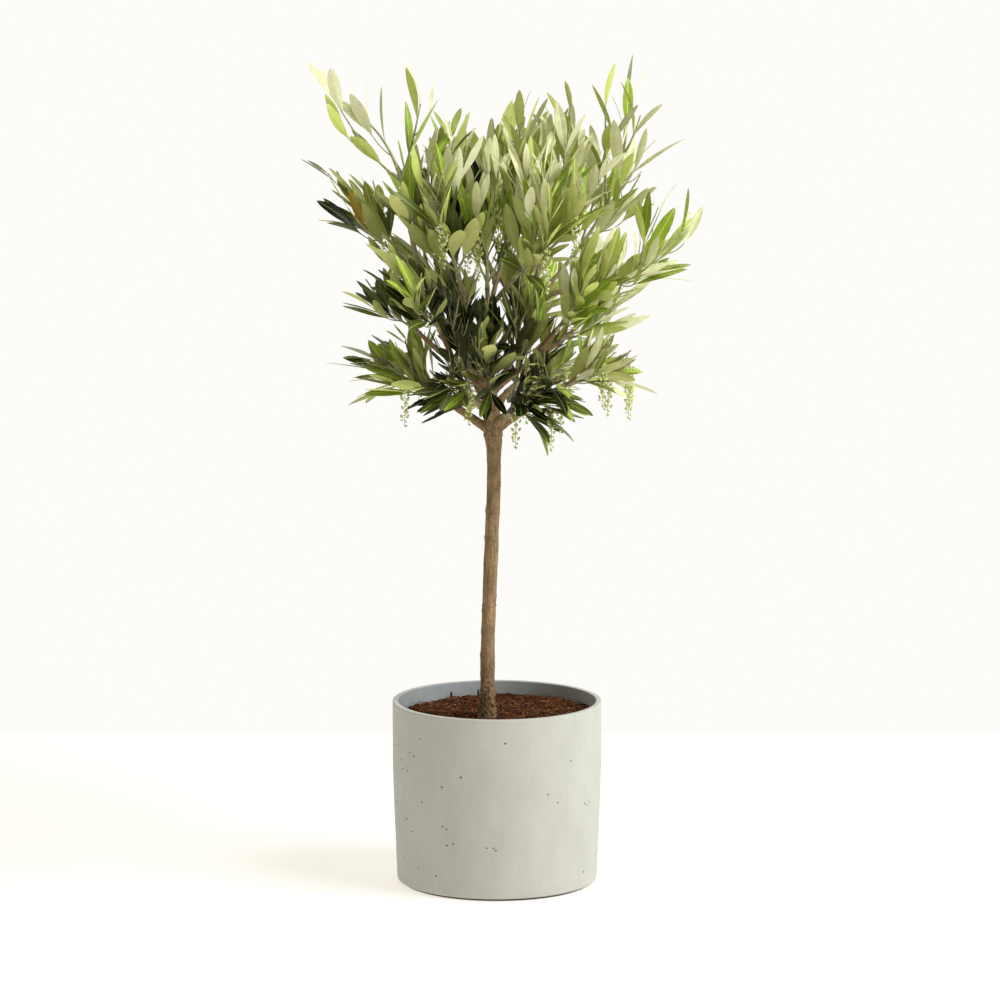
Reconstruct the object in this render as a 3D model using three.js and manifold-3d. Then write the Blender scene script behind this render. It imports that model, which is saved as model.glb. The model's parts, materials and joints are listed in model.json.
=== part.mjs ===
// A young olive tree on a clear stem, in a straight-sided planter.
// Millimetres, +Z up. The origin is the centre of the planter's flat underside, and the
// tree is seen from the front along +Y, with +X to the right.
import * as THREE from "three";
import { mergeVertices } from "three/addons/utils/BufferGeometryUtils.js";
import Module from "manifold-3d";

const wasm = await Module();
wasm.setup();

// The planter: a round cast tub that narrows a little below its middle and stands on a
// foot set back from its edge.
const PLANTER = {
  height: 195.5,
  rimRadius: 111,
  wall: 6,
  floor: 12,
  narrowsBy: 4.8,
  narrowsBelow: 125,
  narrowsAs: 1.1,
  footRadius: 101,
  footHeight: 2.5,
  edgeRound: 2,
  sides: 44,
};
const SOIL = {
  top: 180,
  dip: 3,
  flatRadius: 15,
  waves: { x: 0.071, y: 0.083 },
  sides: 32,
  rings: 3,
};
// Neighbouring pieces stand this far apart.
const CLEARANCE = 0.3;

const TRUNK = {
  foot: { x: -10.3, y: -18 },
  bow: 7.2,
  leanBack: 12,
  forkHeight: 487,
  topHeight: 578,
  radius: 7.3,
  flare: 2.4,
  flareHeight: 13,
  swell: 2.3,
  swellHeight: 17,
  topRadius: 3.6,
  tapersAs: 0.7,
  sides: 12,
  rings: 13,
};

// Every bough runs on into one mass of foliage. A row gives its name, its parent, how far up
// the parent it leaves, the azimuth where its tip lies round the planter's axis (0 is right,
// -90 is towards the viewer), how far out and how high the tip is, and the angles above the
// horizon at which it leaves its parent and its shoot ends. Some masses grow sparser than
// the others, or let their leaves hang.
const BOUGHS = [
  bough("left_low", "trunk", 0.765, 176, 130, 564, 30, 24, { lift: 0.25, sparse: 0.85 }),
  bough("right_low", "trunk", 0.77, -5, 144, 572, 34, 26, { lift: 0.2, sparse: 0.85 }),
  bough("front_low", "trunk", 0.78, -48, 88, 546, 36, 26, { lift: -0.3, sparse: 0.75 }),
  bough("back_low", "trunk", 0.785, 112, 100, 556, 40, 34, { lift: 0 }),
  bough("front_left_low", "trunk", 0.80, -132, 88, 556, 40, 30, { lift: -0.3, sparse: 0.75 }),
  bough("back_right_low", "trunk", 0.82, 54, 102, 566, 40, 40, { lift: 0 }),
  bough("left_mid", "trunk", 0.86, 184, 122, 664, 44, 80),
  bough("right_mid", "trunk", 0.87, 16, 128, 654, 40, 76),
  bough("front_mid", "trunk", 0.83, -94, 64, 592, 30, 66, { lift: -0.1, sparse: 0.75 }),
  bough("back_left", "trunk", 0.91, 124, 104, 646, 42, 74),
  bough("back_right", "trunk", 0.93, 68, 104, 650, 44, 76),
  bough("inner_left", "trunk", 0.88, 206, 56, 618, 36, 80, { lift: 0.1, sparse: 0.75 }),
  bough("inner_right", "trunk", 0.89, -44, 48, 628, 36, 80, { lift: 0.1, sparse: 0.75 }),
  bough("left_top", "trunk", 0.97, 181, 84, 794, 60, 84, { sparse: 1.5 }),
  bough("right_high", "trunk", 0.955, 3, 136, 802, 56, 86, { sparse: 1.7 }),
  bough("top_front", "trunk", 0.985, -108, 34, 752, 78, 88, { sparse: 1.2 }),
  bough("top_back", "top_front", 0.16, 66, 54, 756, 68, 86, { sparse: 1.3 }),
  bough("front_left", "left_mid", 0.26, -134, 106, 650, 52, 76),
  bough("front_right", "right_mid", 0.24, -38, 110, 656, 46, 78),
  bough("right_outer", "right_high", 0.26, -8, 160, 676, 30, 74, { sparse: 1.6 }),
  bough("left_high", "left_top", 0.22, 176, 148, 742, 38, 66, { sparse: 1.5 }),
  bough("left_arch", "left_high", 0.34, 177, 142, 816, 76, 40, { lift: 0.15, sparse: 2.2 }),
  bough("right_top", "right_high", 0.2, -28, 80, 780, 70, 86, { sparse: 1.5 }),
  bough("front_high", "top_front", 0.22, -62, 94, 722, 44, 84),
  bough("front_left_high", "left_top", 0.16, -126, 88, 736, 58, 84),
  bough("back_high", "top_back", 0.24, 116, 92, 740, 50, 82, { sparse: 1.2 }),
  bough("back_right_high", "back_right", 0.3, 50, 100, 744, 64, 84),
];
const BOUGH = {
  share: 0.62,
  thickest: 4.6,
  thinnest: 3.0,
  tipRadius: 0.9,
  tapersAs: 0.8,
  shortest: 0.2,
  handle: 0.38,
  sides: 6,
  rings: 4,
};

// How a shoot branches: opposite pairs of side twigs up its length, each carrying opposite
// pairs of leaves a quarter turn apart. Angles are in degrees, and a scatter is the width of
// the range that a chance share is drawn from.
const TWIG = {
  firstAt: 9,
  lastAt: 0.9,
  gap: 34,
  angle: 34,
  angleScatter: 18,
  turnScatter: 40,
  turnEachMass: 37,
  lowestLength: 82,
  highestLength: 38,
  lengthScatter: [0.6, 1.3],
  shortening: 0.8,
  shortest: 21,
  lift: 0.5,
  radius: 1.5,
  tipRadius: 1.15,
  rootRadius: 0.6,
  bendsOver: 54,
  turns: [0, 30, -30, 60, -60],
  testedAt: [0.2, 0.4, 0.6, 0.8, 1],
};
const LEAF = {
  length: [46, 70],
  slimness: 0.34,
  gap: 25,
  stemGap: 36,
  lastAt: 0.93,
  angle: 28,
  endAngle: 20,
  angleScatter: 18,
  turnScatter: 24,
  turns: [0, 35, -35, 70, -70],
  widestAt: 0.5,
  sunk: 0.2,
  stagger: 1.1,
  droop: 0.08,
  lift: 0.3,
  sizes: [1, 0.72],
  testedAt: [0.25, 0.5, 0.75],
};
// The middle of a mass lies at the share middleAt of its bough and shoot. Heights count for
// less than widths where the masses share out the crown, which gives each a tall space.
const CROWN = {
  seed: 23,
  spread: 84,
  lowest: 468,
  middleAt: 0.7,
  squash: 0.6,
  step: 0.01,
  margin: 0.4,
  limbGap: 3,
};
// Chains of flower buds hang from some of the low masses.
const PANICLE = {
  hungAt: 0.8,
  length: 54,
  drift: 3,
  buds: 5,
  firstBud: 0.3,
  lastBud: 0.98,
  budTurn: 140,
  budRadius: 2.9,
  stalkRadius: 0.8,
  testedAt: [0.3, 0.6, 1],
};
const PANICLES = { right_low: 3, left_low: 1, front_low: 1 };

const UP = new THREE.Vector3(0, 0, 1);
const { degToRad, radToDeg, clamp, lerp, smoothstep } = THREE.MathUtils;

function bough(name, from, at, azimuth, reach, height, leave, rise, habit = {}) {
  return { name, from, at, azimuth, reach, height, leave, rise, ...habit };
}

// A direction from its azimuth and its angle above the horizon, both in degrees.
function heading(azimuth, rise) {
  const a = degToRad(azimuth);
  const e = degToRad(rise);
  return new THREE.Vector3(
    Math.cos(e) * Math.cos(a),
    Math.cos(e) * Math.sin(a),
    Math.sin(e),
  );
}

// A repeatable stream of numbers from 0 to 1.
function randomFrom(seed) {
  let state = seed >>> 0;
  return () => {
    state = (state + 0x6d2b79f5) >>> 0;
    let mixed = Math.imul(state ^ (state >>> 15), state | 1);
    mixed ^= mixed + Math.imul(mixed ^ (mixed >>> 7), mixed | 61);
    return ((mixed ^ (mixed >>> 14)) >>> 0) / 4294967296;
  };
}

// A chance offset from a range of this width round nought.
function scatter(width, random) {
  return width * (random() - 0.5);
}

// The closed solid inside a geometry.
function solidOf(geometry) {
  const bare = geometry.clone();
  bare.deleteAttribute("normal");
  bare.deleteAttribute("uv");
  const merged = mergeVertices(bare, 1e-4);
  return new wasm.Manifold(
    new wasm.Mesh({
      numProp: 3,
      vertProperties: new Float32Array(merged.attributes.position.array),
      triVerts: new Uint32Array(merged.index.array),
    }),
  );
}

function geometryOf(solid) {
  const mesh = solid.getMesh();
  const geometry = new THREE.BufferGeometry();
  geometry.setAttribute("position", new THREE.BufferAttribute(mesh.vertProperties, 3));
  geometry.setIndex(new THREE.BufferAttribute(mesh.triVerts, 1));
  geometry.computeVertexNormals();
  return geometry;
}

// The largest piece of a solid: it drops loose scraps, and fills a hollow that fusing sealed.
function mainPiece(solid) {
  const pieces = solid.decompose();
  return pieces.reduce((a, b) => (a.volume() >= b.volume() ? a : b));
}

// A round limb along pointAt(t) from t = start to t = end. side is square to the whole path.
// Its rings are square to the path too, or level for a limb that is cut level.
function limbGeometry({ pointAt, radiusAt, side, level }, start, end, sides, rings, extra = 0) {
  const geometry = new THREE.CylinderGeometry(1, 1, 1, sides, rings);
  const place = geometry.attributes.position;
  const step = 1e-3;
  for (let i = 0; i < place.count; i++) {
    const t = lerp(start, end, place.getY(i) + 0.5);
    const centre = pointAt(t);
    const along = level ? UP : pointAt(t + step).sub(pointAt(t - step));
    const across = new THREE.Vector3().crossVectors(side, along).normalize();
    const radius = radiusAt(t) + extra;
    centre.addScaledVector(side, place.getX(i) * radius);
    centre.addScaledVector(across, place.getZ(i) * radius);
    place.setXYZ(i, centre.x, centre.y, centre.z);
  }
  return geometry;
}

// The planter's outer radius at a height.
function planterRadius(z) {
  const { rimRadius, narrowsBy, narrowsBelow, narrowsAs } = PLANTER;
  return rimRadius - narrowsBy * Math.max(0, 1 - z / narrowsBelow) ** narrowsAs;
}

function planterGeometry() {
  const { height, rimRadius, wall, floor, footRadius, footHeight, edgeRound, sides } = PLANTER;
  const lip = edgeRound * 0.7;
  const profile = [
    [0, 0],
    [footRadius, 0],
    [footRadius, footHeight],
    [planterRadius(0) - edgeRound, footHeight],
    [planterRadius(0), footHeight + edgeRound],
    ...[0.5, 1].map((s) => PLANTER.narrowsBelow * s).map((z) => [planterRadius(z), z]),
    [rimRadius, height - lip],
    [rimRadius - lip, height],
    [rimRadius - wall + lip, height],
    [rimRadius - wall, height - lip],
    [planterRadius(floor) - wall, floor],
    [0, floor],
  ];
  const points = profile.map(([r, z]) => new THREE.Vector2(r, z));
  return new THREE.LatheGeometry(points, sides).rotateX(Math.PI / 2);
}

// How far the soil can reach inside the planter's flat-sided wall at a height.
function soilRadius(z) {
  const { height, rimRadius, wall, floor, sides } = PLANTER;
  const inside = lerp(planterRadius(floor), rimRadius, (z - floor) / (height - floor)) - wall;
  return inside * Math.cos(Math.PI / sides) - CLEARANCE;
}

// The potting soil fills the planter from its floor. Its top is flat where the trunk
// stands, and dips unevenly elsewhere.
function soilGeometry() {
  const topRadius = soilRadius(SOIL.top);
  const bottom = PLANTER.floor + CLEARANCE;
  const profile = [new THREE.Vector2(0, bottom), new THREE.Vector2(soilRadius(bottom), bottom)];
  for (let i = SOIL.rings; i >= 0; i--)
    profile.push(new THREE.Vector2((topRadius * i) / SOIL.rings, SOIL.top));
  const geometry = new THREE.LatheGeometry(profile, SOIL.sides).rotateX(Math.PI / 2);
  const place = geometry.attributes.position;
  for (let i = 0; i < place.count; i++) {
    const [x, y, z] = [place.getX(i), place.getY(i), place.getZ(i)];
    if (z < SOIL.top - 1) continue;
    const fromTrunk = Math.hypot(x - TRUNK.foot.x, y - TRUNK.foot.y);
    const uneven = smoothstep(fromTrunk, SOIL.flatRadius, 2 * SOIL.flatRadius);
    const wave = Math.sin(x * SOIL.waves.x + 1) * Math.cos(y * SOIL.waves.y);
    place.setZ(i, z - SOIL.dip * uneven * (1 + wave) / 2);
  }
  return geometry;
}

// The trunk runs from a flat cut on the soil, through the fork, to its tip in the crown.
function trunkLimb() {
  const { foot, bow, leanBack, radius, forkHeight, topHeight, topRadius } = TRUNK;
  const start = SOIL.top + CLEARANCE;
  const heightAt = (t) => lerp(start, topHeight, t);
  const pointAt = (t) =>
    new THREE.Vector3(
      foot.x + bow * Math.sin(Math.PI * t * t),
      foot.y + leanBack * t,
      heightAt(t),
    );
  const radiusAt = (t) => {
    const z = heightAt(t);
    const flare = TRUNK.flare * Math.exp(-(z - start) / TRUNK.flareHeight);
    const swell = TRUNK.swell * Math.exp(-(((z - forkHeight) / TRUNK.swellHeight) ** 2));
    const aboveFork = clamp((z - forkHeight) / (topHeight - forkHeight), 0, 1);
    return radius + flare + swell - (radius - topRadius) * aboveFork ** TRUNK.tapersAs;
  };
  const side = new THREE.Vector3(1, 0, 0);
  return { name: "trunk", pointAt, radiusAt, side, level: true, end: 1 };
}

// A bough's whole path, from its parent's middle to the tip of its shoot.
function boughLimb(spec, parent) {
  const start = parent.pointAt(spec.at);
  const tip = heading(spec.azimuth, 0).multiplyScalar(spec.reach).setZ(spec.height);
  const span = start.distanceTo(tip) * BOUGH.handle;
  const towards = radToDeg(Math.atan2(tip.y - start.y, tip.x - start.x));
  const curve = new THREE.CubicBezierCurve3(
    start,
    start.clone().addScaledVector(heading(towards, spec.leave), span),
    tip.clone().addScaledVector(heading(towards, spec.rise), -span),
    tip,
  );
  const { tipRadius, tapersAs } = BOUGH;
  const base = clamp(parent.radiusAt(spec.at) * BOUGH.share, BOUGH.thinnest, BOUGH.thickest);
  return {
    ...spec,
    parent,
    pointAt: (t) => curve.getPoint(t),
    radiusAt: (t) => tipRadius + (base - tipRadius) * (1 - t) ** tapersAs,
    side: heading(towards - 90, 0),
    length: curve.getLength(),
  };
}

function squashed({ x, y, z }) {
  return new THREE.Vector3(x, y, z * CROWN.squash);
}

// How far inside its own cell of the crown a point lies. Cells meet halfway between the
// middles of two masses.
function depthInCell(point, mass, masses) {
  const place = squashed(point);
  let depth = Infinity;
  for (const other of masses) {
    if (other === mass) continue;
    const apart = other.middle.distanceTo(mass.middle);
    const gain = place.distanceToSquared(other.middle) - place.distanceToSquared(mass.middle);
    depth = Math.min(depth, gain / (2 * apart));
  }
  return depth;
}

// How far along its path, from its middle, a bough stays inside its mass.
function edgeOf(mass, masses, step, limit) {
  const roomAt = (t) => depthInCell(mass.pointAt(t), mass, masses) - mass.radiusAt(t) * 1.2;
  let t = CROWN.middleAt;
  while ((limit - t) / step > 0.5 && roomAt(t + step) > CROWN.margin + CLEARANCE) t += step;
  return t;
}

// The trunk and the boughs. A bough ends where it enters its mass, and goes on from there to
// its tip as the stem of the mass.
function limbsOfTree() {
  const limbs = [trunkLimb()];
  for (const spec of BOUGHS)
    limbs.push(boughLimb(spec, limbs.find((limb) => limb.name === spec.from)));
  const masses = limbs.slice(1);
  for (const mass of masses) mass.middle = squashed(mass.pointAt(CROWN.middleAt));
  for (const mass of masses) {
    mass.end = edgeOf(mass, masses, -CROWN.step, BOUGH.shortest);
    mass.tip = edgeOf(mass, masses, CROWN.step, 1);
  }
  for (const limb of limbs) {
    limb.places = [];
    for (let t = 0; t <= limb.end; t += 0.02)
      limb.places.push({ point: limb.pointAt(t), radius: limb.radiusAt(t) });
  }
  return limbs;
}

// Whether all of these points lie in the mass's own space and clear of every limb.
function fits(points, mass, limbs) {
  const masses = limbs.slice(1);
  const inside = (point) =>
    point.z > CROWN.lowest &&
    depthInCell(point, mass, masses) > CROWN.margin &&
    mass.shootPlaces.some((place) => place.distanceTo(point) < CROWN.spread);
  const clear = (point) =>
    limbs.every((limb) =>
      limb.places.every(
        (place) => place.point.distanceTo(point) > place.radius + CROWN.limbGap,
      ),
    );
  return points.every(inside) && points.every(clear);
}

// The place and direction a share of the way along a shoot.
function along(shoot, share) {
  const last = shoot.points.length - 1;
  const i = Math.min(Math.floor(share * last), last - 1);
  const [a, b] = [shoot.points[i], shoot.points[i + 1]];
  return {
    point: a.clone().lerp(b, share * last - i),
    direction: b.clone().sub(a).normalize(),
  };
}

// Two directions square to this one and to each other.
function acrossAxes(direction) {
  const level = new THREE.Vector3().crossVectors(direction, UP);
  if (level.length() < 0.05) level.set(1, 0, 0);
  level.normalize();
  return [level, new THREE.Vector3().crossVectors(level, direction).normalize()];
}

// The direction at this angle off an axis, turned round it. Both angles are in degrees.
function branchOff(direction, angle, turn) {
  const [level, over] = acrossAxes(direction);
  const a = degToRad(angle);
  const r = degToRad(turn);
  return direction
    .clone()
    .multiplyScalar(Math.cos(a))
    .addScaledVector(level, Math.sin(a) * Math.cos(r))
    .addScaledVector(over, Math.sin(a) * Math.sin(r))
    .normalize();
}

// A leaf of four corners: its root, sunk past the middle of the twig, the two widest points
// and the drooping tip. Its upper face looks along the twig and up.
function leafCorners(node, direction, length) {
  const facing = node.direction.clone().addScaledVector(UP, 0.5);
  const normal = facing.addScaledVector(direction, -facing.dot(direction)).normalize();
  const across = new THREE.Vector3().crossVectors(direction, normal);
  const half = (length * LEAF.slimness) / 2;
  const root = node.point.clone().addScaledVector(direction, -LEAF.sunk);
  const middle = root.clone().addScaledVector(direction, length * LEAF.widestAt);
  const left = middle.clone().addScaledVector(across, -half);
  const right = middle.clone().addScaledVector(across, half);
  const tip = root.clone().addScaledVector(direction, length);
  return [root, left, right, tip.addScaledVector(normal, -LEAF.droop * length)];
}

// Whether the stretch from a to b passes through a leaf's blade.
function pierces(a, b, [root, left, right, tip]) {
  const reach = a.distanceTo(b);
  const ray = new THREE.Ray(a, b.clone().sub(a).divideScalar(reach));
  return [left, right].some((edge) => {
    const hit = ray.intersectTriangle(root, edge, tip, false, new THREE.Vector3());
    return hit !== null && hit.distanceTo(a) < reach;
  });
}

function leavesCross(one, two) {
  const rimPierces = ([root, left, right, tip], other) =>
    [left, right].some((edge) => pierces(root, edge, other) || pierces(edge, tip, other));
  return rimPierces(one, two) || rimPierces(two, one);
}

function twigPierces({ points }, leaf) {
  return points.slice(1).some((end, i) => pierces(points[i], end, leaf));
}

// A pair of opposite leaves at one node of a shoot, a little apart along it. A leaf that
// would leave the mass, or cross a limb, a twig or another leaf, turns round the shoot, and
// is skipped if it finds no room.
function addLeafPair(grown, limbs, shoot, share, turn, random) {
  for (const side of [-1, 1]) {
    const stagger = ((side - 3) * LEAF.stagger) / shoot.length;
    const node = along(shoot, share + stagger);
    const angle = (share < 1 ? LEAF.angle : LEAF.endAngle) + scatter(LEAF.angleScatter, random);
    const length = lerp(...LEAF.length, random());
    const around = turn + 90 * side + scatter(LEAF.turnScatter, random);
    const choices = LEAF.sizes.flatMap((size) => LEAF.turns.map((more) => [size, more]));
    for (const [size, more] of choices) {
      const direction = branchOff(node.direction, angle, around + more);
      direction.addScaledVector(UP, grown.mass.lift ?? LEAF.lift).normalize();
      const leaf = leafCorners(node, direction, length * size);
      if (!leafHasRoom(leaf, grown, limbs, shoot)) continue;
      grown.leaves.push(leaf);
      break;
    }
  }
}

function leafHasRoom(leaf, grown, limbs, shoot) {
  const [root, left, right, tip] = leaf;
  const midrib = LEAF.testedAt.map((s) => root.clone().lerp(tip, s));
  return (
    fits([left, right, tip, ...midrib], grown.mass, limbs) &&
    !grown.leaves.some((other) => leavesCross(leaf, other)) &&
    ![...grown.twigs, ...grown.panicles].some(
      (twig) => twig !== shoot && twigPierces(twig, leaf),
    )
  );
}

// A side twig from one node of a stem. Where it has no room it turns round the stem, then
// grows shorter.
function sideTwig(mass, limbs, node, share, turn, random) {
  const usual = lerp(TWIG.lowestLength, TWIG.highestLength, share);
  const whole = usual * lerp(...TWIG.lengthScatter, random());
  const angle = TWIG.angle + scatter(TWIG.angleScatter, random);
  for (let length = whole; length > TWIG.shortest; length *= TWIG.shortening)
    for (const more of TWIG.turns) {
      const starts = branchOff(node.direction, angle, turn + more);
      const segments = length > TWIG.bendsOver ? 2 : 1;
      const points = [];
      for (let i = 0; i <= segments; i++) {
        const s = i / segments;
        const point = node.point.clone().addScaledVector(starts, length * s);
        points.push(point.addScaledVector(UP, TWIG.lift * length * s * s));
      }
      const tested = TWIG.testedAt.map((s) => along({ points }, s).point);
      if (fits(tested, mass, limbs)) return { points, starts, length };
    }
  return null;
}

// The chains of buds, hung from the outer ends of the twigs wherever one has room.
function hangPanicles(grown, limbs) {
  const wanted = PANICLES[grown.mass.name] ?? 0;
  for (const twig of grown.twigs) {
    if (grown.panicles.length === wanted) break;
    const { point } = along(twig, PANICLE.hungAt);
    const end = point.clone().add(new THREE.Vector3(PANICLE.drift, 0, -PANICLE.length));
    const starts = end.clone().sub(point).normalize();
    const tested = PANICLE.testedAt.map((s) => point.clone().lerp(end, s));
    if (fits(tested, grown.mass, limbs))
      grown.panicles.push({ points: [point, end], starts, length: PANICLE.length });
  }
}

// The stem, twigs and leaves of one mass. The twigs come first, so that leaves keep off them.
function growMass(mass, index, limbs) {
  const gap = CLEARANCE / mass.length;
  const steps = 4;
  const stem = { points: [], length: mass.length * (mass.tip - mass.end) };
  for (let i = 0; i <= steps; i++)
    stem.points.push(mass.pointAt(lerp(mass.end + gap, mass.tip, i / steps)));
  stem.starts = mass.pointAt(mass.end + gap).sub(mass.pointAt(mass.end)).normalize();
  mass.shootPlaces = stem.points;
  const grown = { mass, stem, twigs: [stem], leaves: [], panicles: [] };
  const seed = (twig, pair) => CROWN.seed + index * 10007 + twig * 101 + pair * 7;
  const sparse = mass.sparse ?? 1;
  const twigGap = TWIG.gap * sparse;
  const nodes = Math.floor((stem.length * TWIG.lastAt - TWIG.firstAt) / twigGap);
  for (let i = 0; i <= nodes; i++) {
    const share = (TWIG.firstAt + i * twigGap) / stem.length;
    for (const opposite of [0, 1]) {
      const number = 2 * i + opposite + 1;
      const random = randomFrom(seed(number, 0));
      const turn = 90 * i + 180 * opposite + scatter(TWIG.turnScatter, random);
      const around = turn + TWIG.turnEachMass * index;
      const twig = sideTwig(mass, limbs, along(stem, share), share, around, random);
      if (twig) grown.twigs.push({ ...twig, number });
    }
  }
  hangPanicles(grown, limbs);
  for (const twig of grown.twigs) {
    const spacing = (twig === stem ? LEAF.stemGap : LEAF.gap) * sparse;
    const pairs = Math.floor((twig.length * LEAF.lastAt) / spacing);
    const first = twig === stem ? Math.max(Math.ceil(pairs / 3), 1) : 1;
    const number = twig.number ?? 0;
    addLeafPair(grown, limbs, twig, 1, 90 * (pairs + 1), randomFrom(seed(number, 90)));
    for (let pair = first; pair <= pairs; pair++) {
      const share = (pair * spacing) / twig.length;
      addLeafPair(grown, limbs, twig, share, 90 * pair, randomFrom(seed(number, pair)));
    }
  }
  return grown;
}

// A three-sided twig through the shoot's points. Its root, inside what carries it, is slim.
function twigGeometry(shoot, rootRadius, radius, tipRadius) {
  const { points } = shoot;
  const [side, over] = acrossAxes(points.at(-1).clone().sub(points[0]).normalize());
  const square = new THREE.Vector3().crossVectors(side, shoot.starts).normalize();
  const corners = [];
  const faces = [];
  points.forEach((point, i) => {
    const grown = lerp(radius, tipRadius, i / (points.length - 1));
    const reach = i === 0 ? rootRadius : grown;
    for (const turn of [0, 1, 2]) {
      const a = (turn * 2 * Math.PI) / 3;
      const corner = point.clone().addScaledVector(side, reach * Math.cos(a));
      corners.push(corner.addScaledVector(i === 0 ? square : over, reach * Math.sin(a)));
      const [here, next] = [3 * i + turn, 3 * i + ((turn + 1) % 3)];
      if (i > 0) faces.push(here - 3, here, next - 3, next - 3, here, next);
    }
  });
  const last = corners.length - 3;
  faces.push(0, 1, 2, last, last + 2, last + 1);
  return new THREE.BufferGeometry().setFromPoints(corners).setIndex(faces);
}

function leafGeometry(corners) {
  const faces = [0, 2, 1, 1, 2, 3, 0, 1, 3, 0, 3, 2];
  return new THREE.BufferGeometry().setFromPoints(corners).setIndex(faces);
}

function panicleGeometries(stalk) {
  const { buds, budRadius, budTurn, firstBud, lastBud, stalkRadius } = PANICLE;
  const geometries = [twigGeometry(stalk, TWIG.rootRadius, stalkRadius, stalkRadius)];
  for (let i = 0; i < buds; i++) {
    const { point } = along(stalk, lerp(firstBud, lastBud, i / (buds - 1)));
    const aside = heading(i * budTurn, 0).multiplyScalar(budRadius * 0.3);
    const bud = new THREE.TetrahedronGeometry(budRadius).rotateZ(degToRad(i * budTurn));
    geometries.push(bud.translate(...point.add(aside).toArray()));
  }
  return geometries;
}

function massSolid(mass, index, limbs) {
  const { stem, twigs, leaves, panicles } = growMass(mass, index, limbs);
  const stemRadius = mass.radiusAt(mass.end);
  const parts = [twigGeometry(stem, stemRadius, stemRadius, TWIG.radius)];
  for (const twig of twigs.slice(1))
    parts.push(twigGeometry(twig, TWIG.rootRadius, TWIG.radius, TWIG.tipRadius));
  for (const leaf of leaves) parts.push(leafGeometry(leaf));
  for (const stalk of panicles) parts.push(...panicleGeometries(stalk));
  return mainPiece(wasm.Manifold.union(parts.map(solidOf)));
}

function limbSolid(limb, extra = 0) {
  const { sides, rings } = limb.name === "trunk" ? TRUNK : BOUGH;
  return solidOf(limbGeometry(limb, 0, limb.end, sides, rings, extra));
}

const tree = new THREE.Group();

function addPiece(name, geometry, colour, roughness) {
  const material = new THREE.MeshStandardMaterial({ color: colour, roughness, metalness: 0 });
  const mesh = new THREE.Mesh(geometry, material);
  mesh.name = name;
  tree.add(mesh);
}

addPiece("planter", planterGeometry(), 0xb9bcb2, 0.85);
addPiece("soil", soilGeometry(), 0x4a2c1c, 1);

const limbs = limbsOfTree();
const built = [];
for (const limb of limbs) {
  let solid = limbSolid(limb);
  for (const earlier of built) solid = solid.subtract(limbSolid(earlier, CLEARANCE));
  built.push(limb);
  const name = limb.name === "trunk" ? "trunk" : "bough_" + limb.name;
  addPiece(name, geometryOf(mainPiece(solid)), 0x8a755c, 0.9);
}
limbs.slice(1).forEach((mass, index) => {
  addPiece("foliage_" + mass.name, geometryOf(massSolid(mass, index, limbs)), 0x7d8f4e, 0.6);
});

export default tree;
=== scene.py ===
"""A young olive tree on a clear stem, in a round concrete planter.

Sizes are in millimetres and angles in degrees unless a comment says otherwise, and each mesh
is turned into metres as it is made. Limbs, masses and twigs follow the same rule as the
solids, carried on to finer twigs and to leaves in their own outline.
"""

import json
import math
from types import SimpleNamespace as Sizes

import bmesh
import bpy
import numpy as np
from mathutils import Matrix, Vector, noise

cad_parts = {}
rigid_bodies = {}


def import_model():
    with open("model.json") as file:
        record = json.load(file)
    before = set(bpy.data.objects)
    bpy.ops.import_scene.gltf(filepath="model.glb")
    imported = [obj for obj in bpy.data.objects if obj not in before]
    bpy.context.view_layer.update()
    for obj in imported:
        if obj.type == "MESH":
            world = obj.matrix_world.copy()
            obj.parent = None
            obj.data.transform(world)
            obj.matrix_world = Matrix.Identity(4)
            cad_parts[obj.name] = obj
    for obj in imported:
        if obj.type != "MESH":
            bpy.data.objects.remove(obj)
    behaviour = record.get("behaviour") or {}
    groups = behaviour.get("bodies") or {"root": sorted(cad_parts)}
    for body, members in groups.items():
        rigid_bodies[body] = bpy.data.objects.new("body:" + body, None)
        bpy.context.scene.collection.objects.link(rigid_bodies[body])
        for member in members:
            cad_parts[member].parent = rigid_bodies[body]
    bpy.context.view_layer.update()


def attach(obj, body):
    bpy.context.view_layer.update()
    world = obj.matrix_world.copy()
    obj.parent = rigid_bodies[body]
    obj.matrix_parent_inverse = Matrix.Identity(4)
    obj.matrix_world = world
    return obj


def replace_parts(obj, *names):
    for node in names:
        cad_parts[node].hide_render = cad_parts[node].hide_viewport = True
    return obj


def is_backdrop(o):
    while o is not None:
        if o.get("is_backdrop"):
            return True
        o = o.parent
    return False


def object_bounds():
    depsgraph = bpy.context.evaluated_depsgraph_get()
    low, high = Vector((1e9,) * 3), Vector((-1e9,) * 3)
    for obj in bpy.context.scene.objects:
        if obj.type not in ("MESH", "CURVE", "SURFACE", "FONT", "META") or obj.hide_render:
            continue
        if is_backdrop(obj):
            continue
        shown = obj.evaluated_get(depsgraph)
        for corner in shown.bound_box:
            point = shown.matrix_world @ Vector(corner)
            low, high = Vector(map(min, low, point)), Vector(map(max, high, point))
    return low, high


MM = 0.001
UP = Vector((0, 0, 1))
# A direction is as good as upright when the length of its cross with UP is below this.
NEARLY_UP = 0.05

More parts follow.
